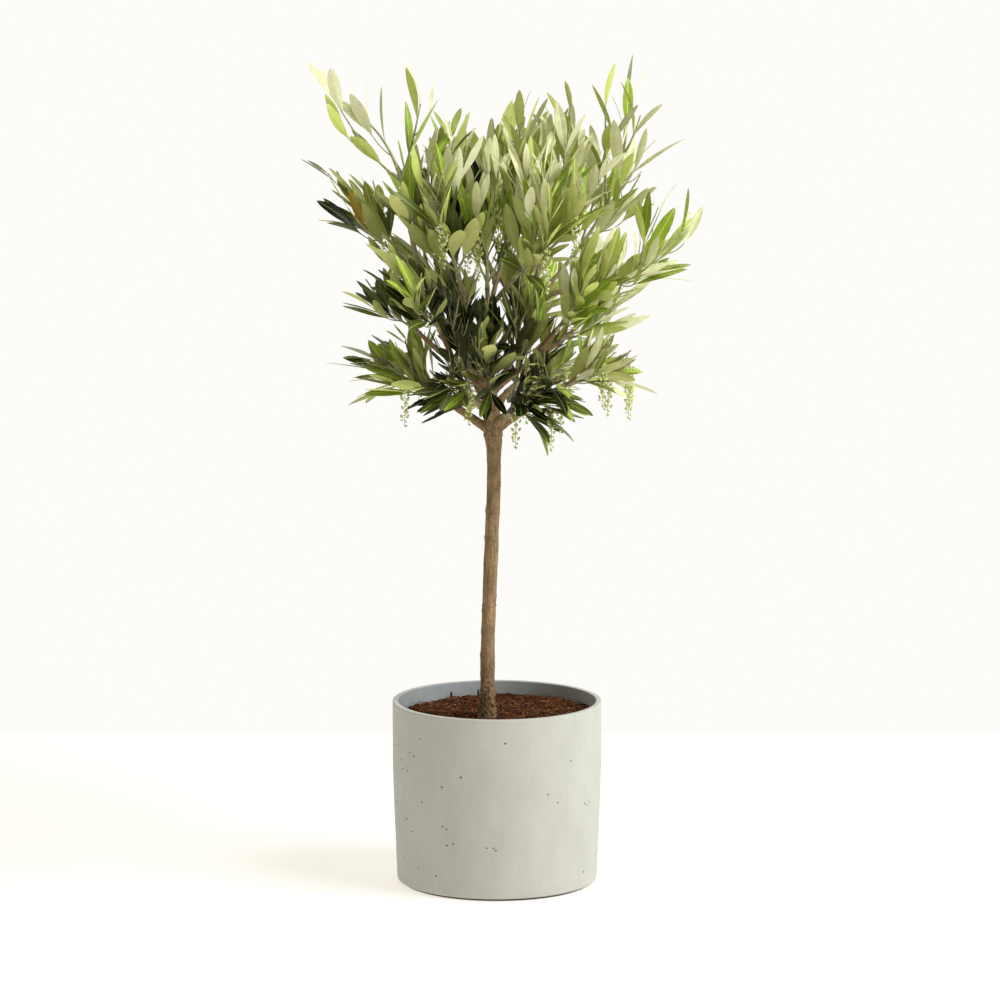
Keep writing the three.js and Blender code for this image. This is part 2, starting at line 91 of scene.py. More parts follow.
# The sizes that the solids grow by, and how finely limbs and twigs are measured and cut here.
CLEARANCE = 0.3
PLANTER = Sizes(
    height=195.5, rim_radius=111, wall=6, floor=12, foot_radius=101, foot_height=2.5,
    narrows_by=4.8, narrows_below=125, narrows_as=1.1,
)
SOIL = Sizes(top=180, dip=3, flat_radius=15, wave_x=0.071, wave_y=0.083)
TRUNK = Sizes(
    foot_x=-10.3, foot_y=-18, bow=7.2, lean_back=12, fork_height=487, top_height=578,
    radius=7.3, flare=2.4, flare_height=13, swell=2.3, swell_height=17, top_radius=3.6,
    tapers_as=0.7,
)
BOUGH = Sizes(
    share=0.62, thickest=4.6, thinnest=3.0, tip_radius=0.9, tapers_as=0.8, shortest=0.2,
    handle=0.38, measured_in=200,
)
TWIG = Sizes(
    first_at=9, last_at=0.9, gap=34, angle=34, angle_scatter=18, turn_scatter=40,
    turn_each_mass=37, lowest_length=82, highest_length=38, length_scatter=(0.6, 1.3),
    shortening=0.8, shortest=21, lift=0.5, radius=1.5, tip_radius=0.8,
    turns=(0, 30, -30, 60, -60), tested_at=(0.2, 0.4, 0.6, 0.8, 1), steps=8,
    collar=1.25, sides=6, stem_sides=8, stem_steps=14,
)
CROWN = Sizes(
    seed=23, spread=84, lowest=468, middle_at=0.7, squash=0.6, margin=0.4, limb_gap=3, step=0.01,
    limb_step=0.02, bough_room=1.2, stem_places=4,
)

# Each row is a bough's name, its parent, how far up the parent it leaves, its tip's azimuth,
# reach and height, the angles at which it leaves and ends, and its mass's habit.
BOUGHS = [
    ("left_low", "trunk", 0.765, 176, 130, 564, 30, 24, {"lift": 0.25, "sparse": 0.85}),
    ("right_low", "trunk", 0.77, -5, 144, 572, 34, 26, {"lift": 0.2, "sparse": 0.85}),
    ("front_low", "trunk", 0.78, -48, 88, 546, 36, 26, {"lift": -0.3, "sparse": 0.75}),
    ("back_low", "trunk", 0.785, 112, 100, 556, 40, 34, {"lift": 0}),
    ("front_left_low", "trunk", 0.80, -132, 88, 556, 40, 30, {"lift": -0.3, "sparse": 0.75}),
    ("back_right_low", "trunk", 0.82, 54, 102, 566, 40, 40, {"lift": 0}),
    ("left_mid", "trunk", 0.86, 184, 122, 664, 44, 80, {}),
    ("right_mid", "trunk", 0.87, 16, 128, 654, 40, 76, {}),
    ("front_mid", "trunk", 0.83, -94, 64, 592, 30, 66, {"lift": -0.1, "sparse": 0.75}),
    ("back_left", "trunk", 0.91, 124, 104, 646, 42, 74, {}),
    ("back_right", "trunk", 0.93, 68, 104, 650, 44, 76, {}),
    ("inner_left", "trunk", 0.88, 206, 56, 618, 36, 80, {"lift": 0.1, "sparse": 0.75}),
    ("inner_right", "trunk", 0.89, -44, 48, 628, 36, 80, {"lift": 0.1, "sparse": 0.75}),
    ("left_top", "trunk", 0.97, 181, 84, 794, 60, 84, {"sparse": 1.5}),
    ("right_high", "trunk", 0.955, 3, 136, 802, 56, 86, {"sparse": 1.7}),
    ("top_front", "trunk", 0.985, -108, 34, 752, 78, 88, {"sparse": 1.2}),
    ("top_back", "top_front", 0.16, 66, 54, 756, 68, 86, {"sparse": 1.3}),
    ("front_left", "left_mid", 0.26, -134, 106, 650, 52, 76, {}),
    ("front_right", "right_mid", 0.24, -38, 110, 656, 46, 78, {}),
    ("right_outer", "right_high", 0.26, -8, 160, 676, 30, 74, {"sparse": 1.6}),
    ("left_high", "left_top", 0.22, 176, 148, 742, 38, 66, {"sparse": 1.5}),
    ("left_arch", "left_high", 0.34, 177, 142, 816, 76, 40, {"lift": 0.15, "sparse": 2.2}),
    ("right_top", "right_high", 0.2, -28, 80, 780, 70, 86, {"sparse": 1.5}),
    ("front_high", "top_front", 0.22, -62, 94, 722, 44, 84, {}),
    ("front_left_high", "left_top", 0.16, -126, 88, 736, 58, 84, {}),
    ("back_high", "top_back", 0.24, 116, 92, 740, 50, 82, {"sparse": 1.2}),
    ("back_right_high", "back_right", 0.3, 50, 100, 744, 64, 84, {}),
]

# What grows finer here than in the solids.
FINE_TWIG = Sizes(
    gap=17, last_at=0.8, angle=40, angle_scatter=16, lengths=(24, 40), shrinks=0.4,
    shortest=0.6, seed=50000, first_number=100, numbers_each=20, radius=0.8, tip_radius=0.55,
)
LEAF = Sizes(
    lengths=(46, 72), end_lengths=(40, 60), slimness=(0.165, 0.255), gap=16, stem_gap=18,
    last_at=0.95, angle=26, end_angle=18, angle_scatter=18, turn_scatter=24, roll_scatter=50,
    turns=(0, 35, -35, 70, -70), sizes=(1, 0.84, 0.62), slimmer=0.7, widest_at=0.5,
    droop=0.08, lift=0.3, faces_up=0.5, stands_off=0.3, stagger=0.8,
    tested_at=(0.25, 0.5, 0.75), seed=70000, bare_above=1.25, bare_part=3, sparse_as=0.5,
)
# How far apart the seeds of two masses lie, and those of two shoots of one mass.
SEED_STEPS = Sizes(shoot=(10007, 101), fine_twig=(997, 31), spray=(131, 17), pair=7, end_pair=97)
# Leaves have been shed more and more from the low to the high end of these ranges.
THIN = Sizes(share=0.6, top=(705, 775), side=(95, 145), side_height=(620, 680))
BLADE = Sizes(
    rows=(0, 0.03, 0.07, 0.13, 0.22, 0.34, 0.48, 0.62, 0.76, 0.87, 0.95, 1), petiole=0.07,
    petiole_half=0.55, tip_half=0.12, end_half=0.4, widest_early=1.1, fullness=0.68,
    thickness=0.42, stalk_thicker=0.7, stalk_fades=0.05, curl=0.10,
    rib_half=0.44, rib_share=0.45, rib_raised=0.22, rib_sunk=0.06, rib_fades=0.7,
    bend=(-0.10, 0.42), fold=(0.08, 0.34), twist=0.9, sway=0.12, looks=1e6,
)
PANICLE = Sizes(
    seed=900, hung_at=0.8, length=54, drift=3, bend_out=2, bend_down=0.4, steps=8,
    tested_at=(0.3, 0.6, 1), stalk_radius=0.45, stalk_tapers=0.6, stalk_sides=5,
    nodes=11, first_node=0.2, side_length=4.6, side_longest=1.15, side_shrinks=0.6,
    side_varies=(0.7, 1.2), side_angle=62, side_scatter=50, side_radii=(0.3, 0.26, 0.24),
    side_sides=4, buds=3, one_bud_from=0.9, bud_radius=1.35, bud_sizes=(0.75, 1.1),
    bud_angle=70, bud_turn=120, bud_off=1.05, bud_detail=2,
)
PANICLES = {
    "right_low": 6, "left_low": 2, "front_low": 3, "front_left_low": 1, "back_low": 2,
    "back_right_low": 2, "top_front": 3, "left_high": 1, "front_left_high": 2,
    "front_high": 3, "top_back": 1, "right_top": 1, "left_top": 1,
}

# The cast planter: its rows and rounds, how uneven it is, and the limits that tell the faces
# of its inside, its foot and its outer wall apart. The inside and the foot are painted shade.
CAST = Sizes(
    sides=280, wall_rows=76, edge_round=2.2, lip_round=1.0, foot_round=0.5,
    inner_heights=(182, 174, 160), uneven=0.18, wave=0.03, inside_from=0.75,
    foot_below=0.4, foot_within=1, outer_within=6.5,
)
# The air holes in the wall. Some have others beside them, a few columns and rows of faces
# away. An inset is a share of its face's width, and only a hole with a small one is dark: painted
# shade.
PIT = Sizes(
    seed=5, count=72, heights=(14, 184), beside=2.5, columns=(2, 5), rows=(-2, 3),
    inset=(0.12, 0.44), dark_below=0.27, depth=(0.7, 1.3),
)
# The bed of soil, which rises a little towards the back right.
PEAT = Sizes(
    rises=2.4, rises_towards=(0.6, 0.8), rings=52, rings_as=1.2, sides=150, lumps_fade=6,
    lumps_left=0.3, lumps=((0.11, 0, 1.3), (0.4, 7, 0.9)), clear_of_trunk=3,
)
# Crumbs are dark, red or tan, and fibres red or tan, in these shares.
CRUMB = Sizes(
    seed=6, count=5200, size=1.9, sizes=(0.5, 1), widths=(0.6, 1.3), heights=(0.4, 0.9),
    rough=0.35, rough_as=(5.1, 7.3, 3.7), rough_turns=9, turned=0.5, lies=(-0.2, 1.2),
    dark=0.5, red=0.75, margin=3, dark_round_trunk=34,
)
# Each kind's darker and lighter tone, and how rough it is.
COIR = {
    "dark": ((0.026, 0.009, 0.003), (0.068, 0.022, 0.007), 0.95),
    "red": ((0.092, 0.027, 0.008), (0.185, 0.058, 0.016), 0.95),
    "tan": ((0.19, 0.078, 0.026), (0.34, 0.158, 0.060), 0.9),
}
FIBRE = Sizes(
    seed=7, count=1100, lengths=(4, 13), steps=4, bend=70, lies=(0.6, 1.6), rise=14,
    rise_scatter=24, above=0.4, radii=(0.18, 0.4), sides=4, red=0.6, margin=9,
)
# Two bits of bark stand up from the soil. Each has its x and y, its height and its radius.
STUB = Sizes(
    places=((-50, 84, 8, 1.5), (-21, 94, 9, 1.3)), sunk=1, leans=(1, 0.4),
    tapers=(1, 0.9, 0.6), sides=7,
)
# The bark. A wave has how fast it changes round and along the limb, its seed and its depth.
BARK = Sizes(
    rows=400, sides=56, sunk=2.5, young=(590, 700),
    waves=(((0.75, 0.75, 0.07), 0, 0.34), ((1.7, 1.7, 0.22), 5, 0.18),
           ((0.12, 0.12, 0.035), 9, 0.9)),
    flaky_below=242, flaky_over=40, dark_over=12, flake_depth=1.9,
    flake_wave=((0.42, 0.42, 0.2), 3, 1), rough_wave=((0.9, 0.9, 0.5), 11, 0.8),
    ring_scars=(481, 300), scar_proud=0.55, scar_width=1.1, groove_deep=0.35,
    groove_width=0.9, groove_below=2.2, knot_squash=0.8, hollow_deep=0.7, hollow_width=0.35,
)
# Each knot on the trunk has its height, its azimuth, its width and how far it stands out.
KNOTS = (
    (482, 180, 3.4, 1.9), (402, 175, 2.6, 1.1), (372, 190, 2.2, 0.9), (296, 172, 2.6, 1.0),
    (272, 168, 2.2, 0.9), (247, 185, 2.4, 1.0), (209, -125, 3.6, 1.8), (335, -60, 2.0, 0.7),
    (430, -20, 2.4, 0.9), (360, 60, 2.6, 1.0), (310, -5, 2.2, 0.8), (440, 110, 2.4, 0.9),
)
BOUGH_BARK = Sizes(
    sides=20, row_gap=1.3, fewest_rows=12, past_end=0.01, collar=0.55, collar_reach=1.6,
    collar_from=0.8, waves=(((0.8, 0.8, 0.12), 3.0, 0.22), ((0.25, 0.25, 0.09), 5.0, 0.4)),
    node_gap=31, node_at=12, node_spread=2.5, node_proud=0.35,
)
# A tube's rounded tip, in shares of its last radius.
TUBE_TIP = Sizes(length=0.6, radius=0.35)
# No tube starts along this direction, so the first side of each can be square to it.
FIRST_SIDE = (0.31, 0.87, 0.38)

# Each tone of leaf: its upper face, its underside, its midrib and how rough it is. The deep
# tone is partly painted shade, and the pale tone's upper face is partly painted light.
TONES = {
    "deep": ((0.010, 0.016, 0.002), (0.070, 0.084, 0.016), (0.13, 0.16, 0.05), 0.34),
    "olive": ((0.103, 0.134, 0.011), (0.355, 0.39, 0.105), (0.40, 0.44, 0.14), 0.40),
    "sage": ((0.312, 0.365, 0.050), (0.600, 0.64, 0.205), (0.60, 0.63, 0.26), 0.44),
    "fresh": ((0.325, 0.455, 0.034), (0.610, 0.69, 0.175), (0.66, 0.74, 0.24), 0.38),
    "pale": ((0.740, 0.755, 0.415), (0.88, 0.89, 0.56), (0.86, 0.87, 0.54), 0.5),
    "ochre": ((0.50, 0.34, 0.025), (0.56, 0.41, 0.06), (0.58, 0.43, 0.08), 0.45),
}
# How light a leaf is: by its height, by how far right and out it grows, and by chance. The first
# three are painted light, lighter towards the lamp high on the right; chance is real tone.
LIGHTNESS = Sizes(
    lowest=520, height=320, by_height=0.34, width=200, by_width=0.24, outer=150,
    outermost=1.2, by_outer=0.2, by_spray=0.62, by_leaf=0.2, more=0.06,
)
# Painted shade: the leaves deep in the crown, round this middle, are dealt the darkest tones.
SHADE = Sizes(middle=(-30, -20, 598), width=56, height=104, leans=0.45, darkens=0.85)
# Each tone of leaf, and how light a leaf has to be for the next one.
TONE_STEPS = (("deep", 0.26), ("olive", 0.48), ("sage", 0.69), ("fresh", 0.87), ("pale", 9))
# The masses that are lighter or darker than their place in the crown says.
SPRAY_LIGHT = {
    "left_high": -0.26, "left_arch": 0.15, "left_low": 0.30, "front_left_low": 0.16,
    "left_mid": 0.08, "right_low": 0.18, "right_mid": 0.08, "front_right": 0.10,
    "inner_right": 0.22, "front_left_high": 0.12,
}
# One pair of leaves has faded and is about to fall: its mass, its twig, the stretch it is on.
FADED = Sizes(mass="left_high", twig=2, along=(0.5, 0.8))

# The floor's front part takes shadows. Its back part and the wall beyond only glow.
STAGE = Sizes(
    wide=30000, near=30000, seam=774, wall=6600, high=9000, colour=(0.42, 0.42, 0.42, 1),
    glow_colour=(1, 0.945, 0.868, 1), glow=0.73,
    back_colour=(0, 0, 0, 1), back_glow_colour=(0.984, 0.975, 0.946, 1), back_glow=1,
)
# The lamp's place, target and size are in metres, and its power, key, is in watts.
LIGHT = Sizes(
    sky=0.33, sky_colour=(1, 0.95, 0.76, 1), target=(0, 0, 0.45),
    key=158, key_place=(2.5, -1.1, 2.95), key_size=2.3, key_colour=(0.965, 0.985, 1),
)
# The camera. How far it sees is in metres.
CAMERA = Sizes(lens=198, sensor=36, distance=5812, down=9.2, target=(3.2, 0, 410.5), far=50)


def lerp(a, b, share):
    return a + (b - a) * share


def smoothstep(x, low, high):
    s = min(max((x - low) / (high - low), 0), 1)
    return s * s * (3 - 2 * s)


def heading(azimuth, rise):
    """A direction from its azimuth and its angle above the horizon."""
    a, e = math.radians(azimuth), math.radians(rise)
    return Vector((math.cos(e) * math.cos(a), math.cos(e) * math.sin(a), math.sin(e)))


class Chance:
    """A repeatable stream of numbers from 0 to 1, the same as the solids grow by."""

    MASK = 0xFFFFFFFF

    def __init__(self, seed):
        self.state = seed & self.MASK

    def __call__(self):
        self.state = (self.state + 0x6D2B79F5) & self.MASK
        mixed = ((self.state ^ self.state >> 15) * (self.state | 1)) & self.MASK
        mixed ^= (mixed + (mixed ^ mixed >> 7) * (mixed | 61)) & self.MASK
        return (mixed ^ mixed >> 14) / (self.MASK + 1)

    def scatter(self, width):
        return width * (self() - 0.5)

    def between(self, low, high):
        return lerp(low, high, self())


# The limbs.


def trunk_limb():
    start = SOIL.top + CLEARANCE

    def point_at(t):
        x = TRUNK.foot_x + TRUNK.bow * math.sin(math.pi * t * t)
        return Vector((x, TRUNK.foot_y + TRUNK.lean_back * t, lerp(start, TRUNK.top_height, t)))

    def radius_at(t):
        z = lerp(start, TRUNK.top_height, t)
        flare = TRUNK.flare * math.exp(-(z - start) / TRUNK.flare_height)
        swell = TRUNK.swell * math.exp(-(((z - TRUNK.fork_height) / TRUNK.swell_height) ** 2))
        above = (z - TRUNK.fork_height) / (TRUNK.top_height - TRUNK.fork_height)
        taper = (TRUNK.radius - TRUNK.top_radius) * min(max(above, 0), 1) ** TRUNK.tapers_as
        return TRUNK.radius + flare + swell - taper

    return Sizes(name="trunk", point_at=point_at, radius_at=radius_at, end=1)


def bough_limb(name, parent, at, azimuth, reach, height, leave, rise, habit):
    start = parent.point_at(at)
    tip = heading(azimuth, 0) * reach
    tip.z = height
    span = (tip - start).length * BOUGH.handle
    towards = math.degrees(math.atan2(tip.y - start.y, tip.x - start.x))
    out = start + heading(towards, leave) * span
    back = tip - heading(towards, rise) * span
    base = min(max(parent.radius_at(at) * BOUGH.share, BOUGH.thinnest), BOUGH.thickest)

    def point_at(t):
        u = 1 - t
        return start * u**3 + out * (3 * u * u * t) + back * (3 * u * t * t) + tip * t**3

    def radius_at(t):
        return BOUGH.tip_radius + (base - BOUGH.tip_radius) * max(1 - t, 0) ** BOUGH.tapers_as

    count = BOUGH.measured_in
    steps = [point_at(i / count) for i in range(count + 1)]
    length = sum((b - a).length for a, b in zip(steps, steps[1:]))
    return Sizes(
        name=name, parent=parent, point_at=point_at, radius_at=radius_at, length=length,
        sparse=habit.get("sparse", 1), lift=habit.get("lift", LEAF.lift),
    )


class Crown:
    """The limbs, and the room that each mass of foliage keeps to."""

    def __init__(self):
        limbs = [trunk_limb()]
        for name, parent, *rest in BOUGHS:
            carrier = next(limb for limb in limbs if limb.name == parent)
            limbs.append(bough_limb(name, carrier, *rest))
        self.masses = limbs[1:]
        for index, mass in enumerate(self.masses):
            mass.index = index
            mass.middle = mass.point_at(CROWN.middle_at)
        self.middles = self.squashed([mass.middle for mass in self.masses])
        self.apart = np.linalg.norm(self.middles[:, None] - self.middles[None], axis=2)
        for mass in self.masses:
            mass.end = self.edge_of(mass, -CROWN.step, BOUGH.shortest)
            mass.tip = self.edge_of(mass, CROWN.step, 1)
        places, radii = [], []
        for limb in limbs:
            for i in range(int(limb.end / CROWN.limb_step) + 1):
                places.append(limb.point_at(i * CROWN.limb_step))
                radii.append(limb.radius_at(i * CROWN.limb_step) + CROWN.limb_gap)
        self.places, self.radii = np.array(places), np.array(radii)
        self.low, self.high = (np.array(corner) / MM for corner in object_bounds())

    @staticmethod
    def squashed(points):
        """The points with their heights cut, which makes each mass's cell a tall one."""
        return np.array(points) * (1, 1, CROWN.squash)

    def depth(self, points, mass):
        """How far inside the mass's own cell each point lies."""
        squares = ((self.squashed(points)[:, None] - self.middles[None]) ** 2).sum(2)
        apart = np.where(self.apart[mass.index] > 0, self.apart[mass.index], 1)
        depths = (squares - squares[:, [mass.index]]) / (2 * apart)
        depths[:, mass.index] = np.inf
        return depths.min(1)

    def edge_of(self, mass, step, limit):
        """How far along its line from its middle a bough stays inside its mass."""
        t = CROWN.middle_at
        while (limit - t) / step > 0.5:
            depth = self.depth([mass.point_at(t + step)], mass)[0]
            room = depth - mass.radius_at(t + step) * CROWN.bough_room
            if room <= CROWN.margin + CLEARANCE:
                break
            t += step
        return t

    def fits(self, points, mass):
        """Whether all the points lie in the mass's room and clear of every limb."""
        points = np.array(points)
        inside = (
            points[:, 2].min() > CROWN.lowest
            and (points > self.low).all()
            and (points < self.high).all()
            and self.depth(points, mass).min() > CROWN.margin
        )
        if not inside:
            return False
        spans = ((points[:, None] - mass.shoot_places[None]) ** 2).sum(2)
        if spans.min(1).max() >= CROWN.spread**2:
            return False
        apart = ((points[:, None] - self.places[None]) ** 2).sum(2)
        return bool((apart > self.radii[None] ** 2).all())


# Shoots and leaves.


def along(shoot, share):
    """The place and direction a share of the way along a shoot."""
    last = len(shoot.points) - 1
    i = min(max(int(share * last), 0), last - 1)
    a, b = shoot.points[i], shoot.points[i + 1]
    return Sizes(point=a.lerp(b, share * last - i), direction=(b - a).normalized())


def branch_off(direction, angle, turn):
    """The direction at this angle off an axis, turned round it."""
    level = direction.cross(UP)
    level = level.normalized() if level.length >= NEARLY_UP else Vector((1, 0, 0))
    over = level.cross(direction).normalized()
    a, r = math.radians(angle), math.radians(turn)
    aside = level * math.cos(r) + over * math.sin(r)
    return (direction * math.cos(a) + aside * math.sin(a)).normalized()


def curved_shoot(start, direction, length):
    """A shoot that leaves in a direction and turns a little upwards."""
    shares = [i / TWIG.steps for i in range(TWIG.steps + 1)]
    rise = TWIG.lift * length
    points = [start + direction * (length * s) + UP * (rise * s * s) for s in shares]
    return Sizes(points=points, length=length)


def side_shoot(crown, mass, node, angle, turn, whole, shortest):
    """A shoot from one node. Where it has no room it turns, then grows shorter."""
    length = whole
    while length > shortest:
        for more in TWIG.turns:
            shoot = curved_shoot(node.point, branch_off(node.direction, angle, turn + more), length)
            if crown.fits([along(shoot, s).point for s in TWIG.tested_at], mass):
                return shoot
        length *= TWIG.shortening
    return None


def seed_for(first, mass, number, steps):
    """A seed of its own for each shoot of each mass."""
    return first + mass.index * steps[0] + number * steps[1]


def side_twigs(crown, mass, stem):
    """The twigs that the solids have too: opposite pairs up the stem."""
    gap = TWIG.gap * mass.sparse
    found = []
    for i in range(int((stem.length * TWIG.last_at - TWIG.first_at) // gap) + 1):
        share = (TWIG.first_at + i * gap) / stem.length
        for opposite in (0, 1):
            number = 2 * i + opposite + 1
            chance = Chance(seed_for(CROWN.seed, mass, number, SEED_STEPS.shoot))
            turn = 90 * i + 180 * opposite + chance.scatter(TWIG.turn_scatter)
            turn += TWIG.turn_each_mass * mass.index
            usual = lerp(TWIG.lowest_length, TWIG.highest_length, share)
            whole = usual * chance.between(*TWIG.length_scatter)
            angle = TWIG.angle + chance.scatter(TWIG.angle_scatter)
            node = along(stem, share)
            twig = side_shoot(crown, mass, node, angle, turn, whole, TWIG.shortest)
            if twig:
                twig.number, twig.radii = number, (TWIG.radius, TWIG.tip_radius)
                found.append(twig)
    return found


def fine_twigs(crown, mass, carriers):
    """Finer twigs, one at a time on alternate sides of each twig that carries them."""
    found = []
    gap, shortest = FINE_TWIG.gap * mass.sparse, FINE_TWIG.lengths[0] * FINE_TWIG.shortest
    for carrier in carriers:
        seed = seed_for(FINE_TWIG.seed, mass, carrier.number, SEED_STEPS.fine_twig)
        chance = Chance(seed)
        for i in range(1, int(carrier.length * FINE_TWIG.last_at // gap) + 1):
            share = i * FINE_TWIG.gap * mass.sparse / carrier.length
            turn = 180 * i + 90 + chance.scatter(TWIG.turn_scatter)
            angle = FINE_TWIG.angle + chance.scatter(FINE_TWIG.angle_scatter)
            whole = chance.between(*FINE_TWIG.lengths) * (1 - FINE_TWIG.shrinks * share)
            twig = side_shoot(crown, mass, along(carrier, share), angle, turn, whole, shortest)
            if twig:
                twig.number = FINE_TWIG.first_number + carrier.number * FINE_TWIG.numbers_each + i
                twig.radii = (FINE_TWIG.radius, FINE_TWIG.tip_radius)
                found.append(twig)
    return found


def hang_panicles(crown, mass, twigs):
    """Chains of flower buds, from the outer ends of the twigs that have room below."""
    found = []
    shares = [i / PANICLE.steps for i in range(PANICLE.steps + 1)]
    for twig in twigs:
        if len(found) == PANICLES.get(mass.name, 0):
            break
        top = along(twig, PANICLE.hung_at).point
        end = top + Vector((PANICLE.drift, 0, -PANICLE.length))
        if crown.fits([top.lerp(end, s) for s in PANICLE.tested_at], mass):
            out, down = PANICLE.drift * PANICLE.bend_out, PANICLE.length * PANICLE.bend_down
            bend = top + Vector((out, 0, -down))
            points = [top * (1 - s) ** 2 + bend * (2 * s * (1 - s)) + end * s * s for s in shares]
            found.append(Sizes(points=points, length=PANICLE.length))
    return found


def pierced(starts, ends, corners):
    """Whether any stretch from a start to an end passes through any of the triangles."""
    a, b, c = corners[:, 0], corners[:, 1], corners[:, 2]
    edge1, edge2 = b - a, c - a
    ray = (ends - starts)[:, None]
    across = np.cross(ray, edge2[None])
    det = (across * edge1[None]).sum(2)
    det = np.where(np.abs(det) < 1e-9, 1e-9, det)
    offset = starts[:, None] - a[None]
    u = (offset * across).sum(2) / det
    turned = np.cross(offset, edge1[None])
    v = (ray * turned).sum(2) / det
    t = (edge2[None] * turned).sum(2) / det
    return bool(((u > 0) & (v > 0) & (u + v < 1) & (t > 0) & (t < 1)).any())


class LeafRoom:
    """The leaves and twigs of one mass so far, for telling whether a new leaf crosses one."""

    def __init__(self, shoots):
        self.leaves = []
        segments = [
            (a, b, id(shoot)) for shoot in shoots for a, b in zip(shoot.points, shoot.points[1:])
        ]
        self.starts, self.ends, self.owners = (np.array(part) for part in zip(*segments))

    def free(self, leaf, shoot):
        others = self.owners != id(shoot)
        if pierced(self.starts[others], self.ends[others], leaf.faces):
            return False
        near = [
            other for other in self.leaves
            if (other.middle - leaf.middle).length < other.length / 2 + leaf.length / 2
        ]
        if not near:
            return True
        their_faces = np.concatenate([other.faces for other in near])
        their_edges = np.concatenate([other.edges for other in near], axis=1)
        return not (pierced(*leaf.edges, their_faces) or pierced(*their_edges, leaf.faces))


def new_leaf(node, direction, length, slimness, roll):
    """A leaf's frame and flat outline. Its upper face looks along the shoot and up."""
    facing = node.direction + UP * LEAF.faces_up
    normal = (facing - direction * facing.dot(direction)).normalized()
    across = direction.cross(normal)
    a = math.radians(roll)
    normal, across = (
        normal * math.cos(a) + across * math.sin(a),
        across * math.cos(a) - normal * math.sin(a),
    )
    root = node.point + direction * LEAF.stands_off
    middle = root + direction * (length * LEAF.widest_at)
    half = length * slimness / 2
    tip = root + direction * length - normal * (LEAF.droop * length)
    left, right = middle - across * half, middle + across * half
    return Sizes(
        root=root, direction=direction, normal=normal, across=across, length=length,
        half=half, middle=middle, corners=np.array([root, left, right, tip]),
        faces=np.array([[root, left, tip], [root, right, tip]]),
        edges=np.array([[root, left, root, right], [left, tip, right, tip]]),
    )


def thinned(place):
    """The share of the leaves that has been shed there: most at the tips of the crown."""
    top = smoothstep(place.z, *THIN.top)
    side = smoothstep(place.x, *THIN.side) * smoothstep(place.z, *THIN.side_height)
    return THIN.share * max(top, side)


def leaf_with_room(crown, mass, room, shoot, node, angle, turn, length, slimness, roll):
    """A leaf at a node. Where it has no room it turns, or grows shorter, or is left out."""
    for size in LEAF.sizes:
        slim = slimness * lerp(LEAF.slimmer, 1, size)
        for more in LEAF.turns:
            direction = branch_off(node.direction, angle, turn + more)
            direction = (direction + UP * mass.lift).normalized()
            leaf = new_leaf(node, direction, length * size, slim, roll)
            root, left, right, tip = leaf.corners
            midrib = [lerp(root, tip, s) for s in LEAF.tested_at]
            if crown.fits([left, right, tip, *midrib], mass) and room.free(leaf, shoot):
                return leaf
    return None


def add_leaf_pair(crown, mass, room, shoot, share, turn, chance):
    """A pair of opposite leaves, put into the room unless they have been shed."""
    for side in (-1, 1):
        at_end = share >= 1
        node = along(shoot, share - LEAF.stagger * (1 + side) / shoot.length)
        angle = (LEAF.end_angle if at_end else LEAF.angle) + chance.scatter(LEAF.angle_scatter)
        length = chance.between(*(LEAF.end_lengths if at_end else LEAF.lengths))
        around = turn + 90 * side + chance.scatter(LEAF.turn_scatter)
        slimness, roll = chance.between(*LEAF.slimness), chance.scatter(LEAF.roll_scatter)
        look = chance()
        leaf = leaf_with_room(
            crown, mass, room, shoot, node, angle, around, length, slimness, roll,
        )
        if leaf and look > thinned(leaf.root):
            leaf.look, leaf.share, leaf.mass, leaf.shoot = look, share, mass, shoot
            room.leaves.append(leaf)


def grow_mass(crown, mass):
    """The stem, twigs, panicles and leaves of one mass."""
    steps, places = TWIG.stem_steps, CROWN.stem_places
    stem = Sizes(
        points=[mass.point_at(lerp(mass.end, mass.tip, i / steps)) for i in range(steps + 1)],
        length=mass.length * (mass.tip - mass.end), number=0,
        radii=(mass.radius_at(mass.end), TWIG.tip_radius),
    )
    mass.shoot_places = np.array(
        [mass.point_at(lerp(mass.end, mass.tip, i / places)) for i in range(places + 1)]
    )
    twigs = side_twigs(crown, mass, stem)
    finer = fine_twigs(crown, mass, [stem, *twigs])
    panicles = hang_panicles(crown, mass, twigs)
    shoots = [stem, *twigs, *finer]
    room = LeafRoom([*shoots, *panicles])
    for shoot in shoots:
        spacing = (LEAF.stem_gap if shoot is stem else LEAF.gap)
        spacing *= mass.sparse ** (LEAF.sparse_as if mass.sparse > 1 else 1)
        pairs = int(shoot.length * LEAF.last_at // spacing)
        bare = shoot is stem and mass.sparse > LEAF.bare_above
        first = max(math.ceil(pairs / LEAF.bare_part), 1) if bare else 1
        seed = seed_for(LEAF.seed, mass, shoot.number, SEED_STEPS.shoot)
        chance = Chance(seed + SEED_STEPS.end_pair)
        add_leaf_pair(crown, mass, room, shoot, 1, 90 * (pairs + 1), chance)
        for pair in range(first, pairs + 1):
            share = pair * spacing / shoot.length
            if share < 1:
                chance = Chance(seed + pair * SEED_STEPS.pair)
                add_leaf_pair(crown, mass, room, shoot, share, 90 * pair, chance)
    return shoots, panicles, room.leaves


# Meshes from arrays.


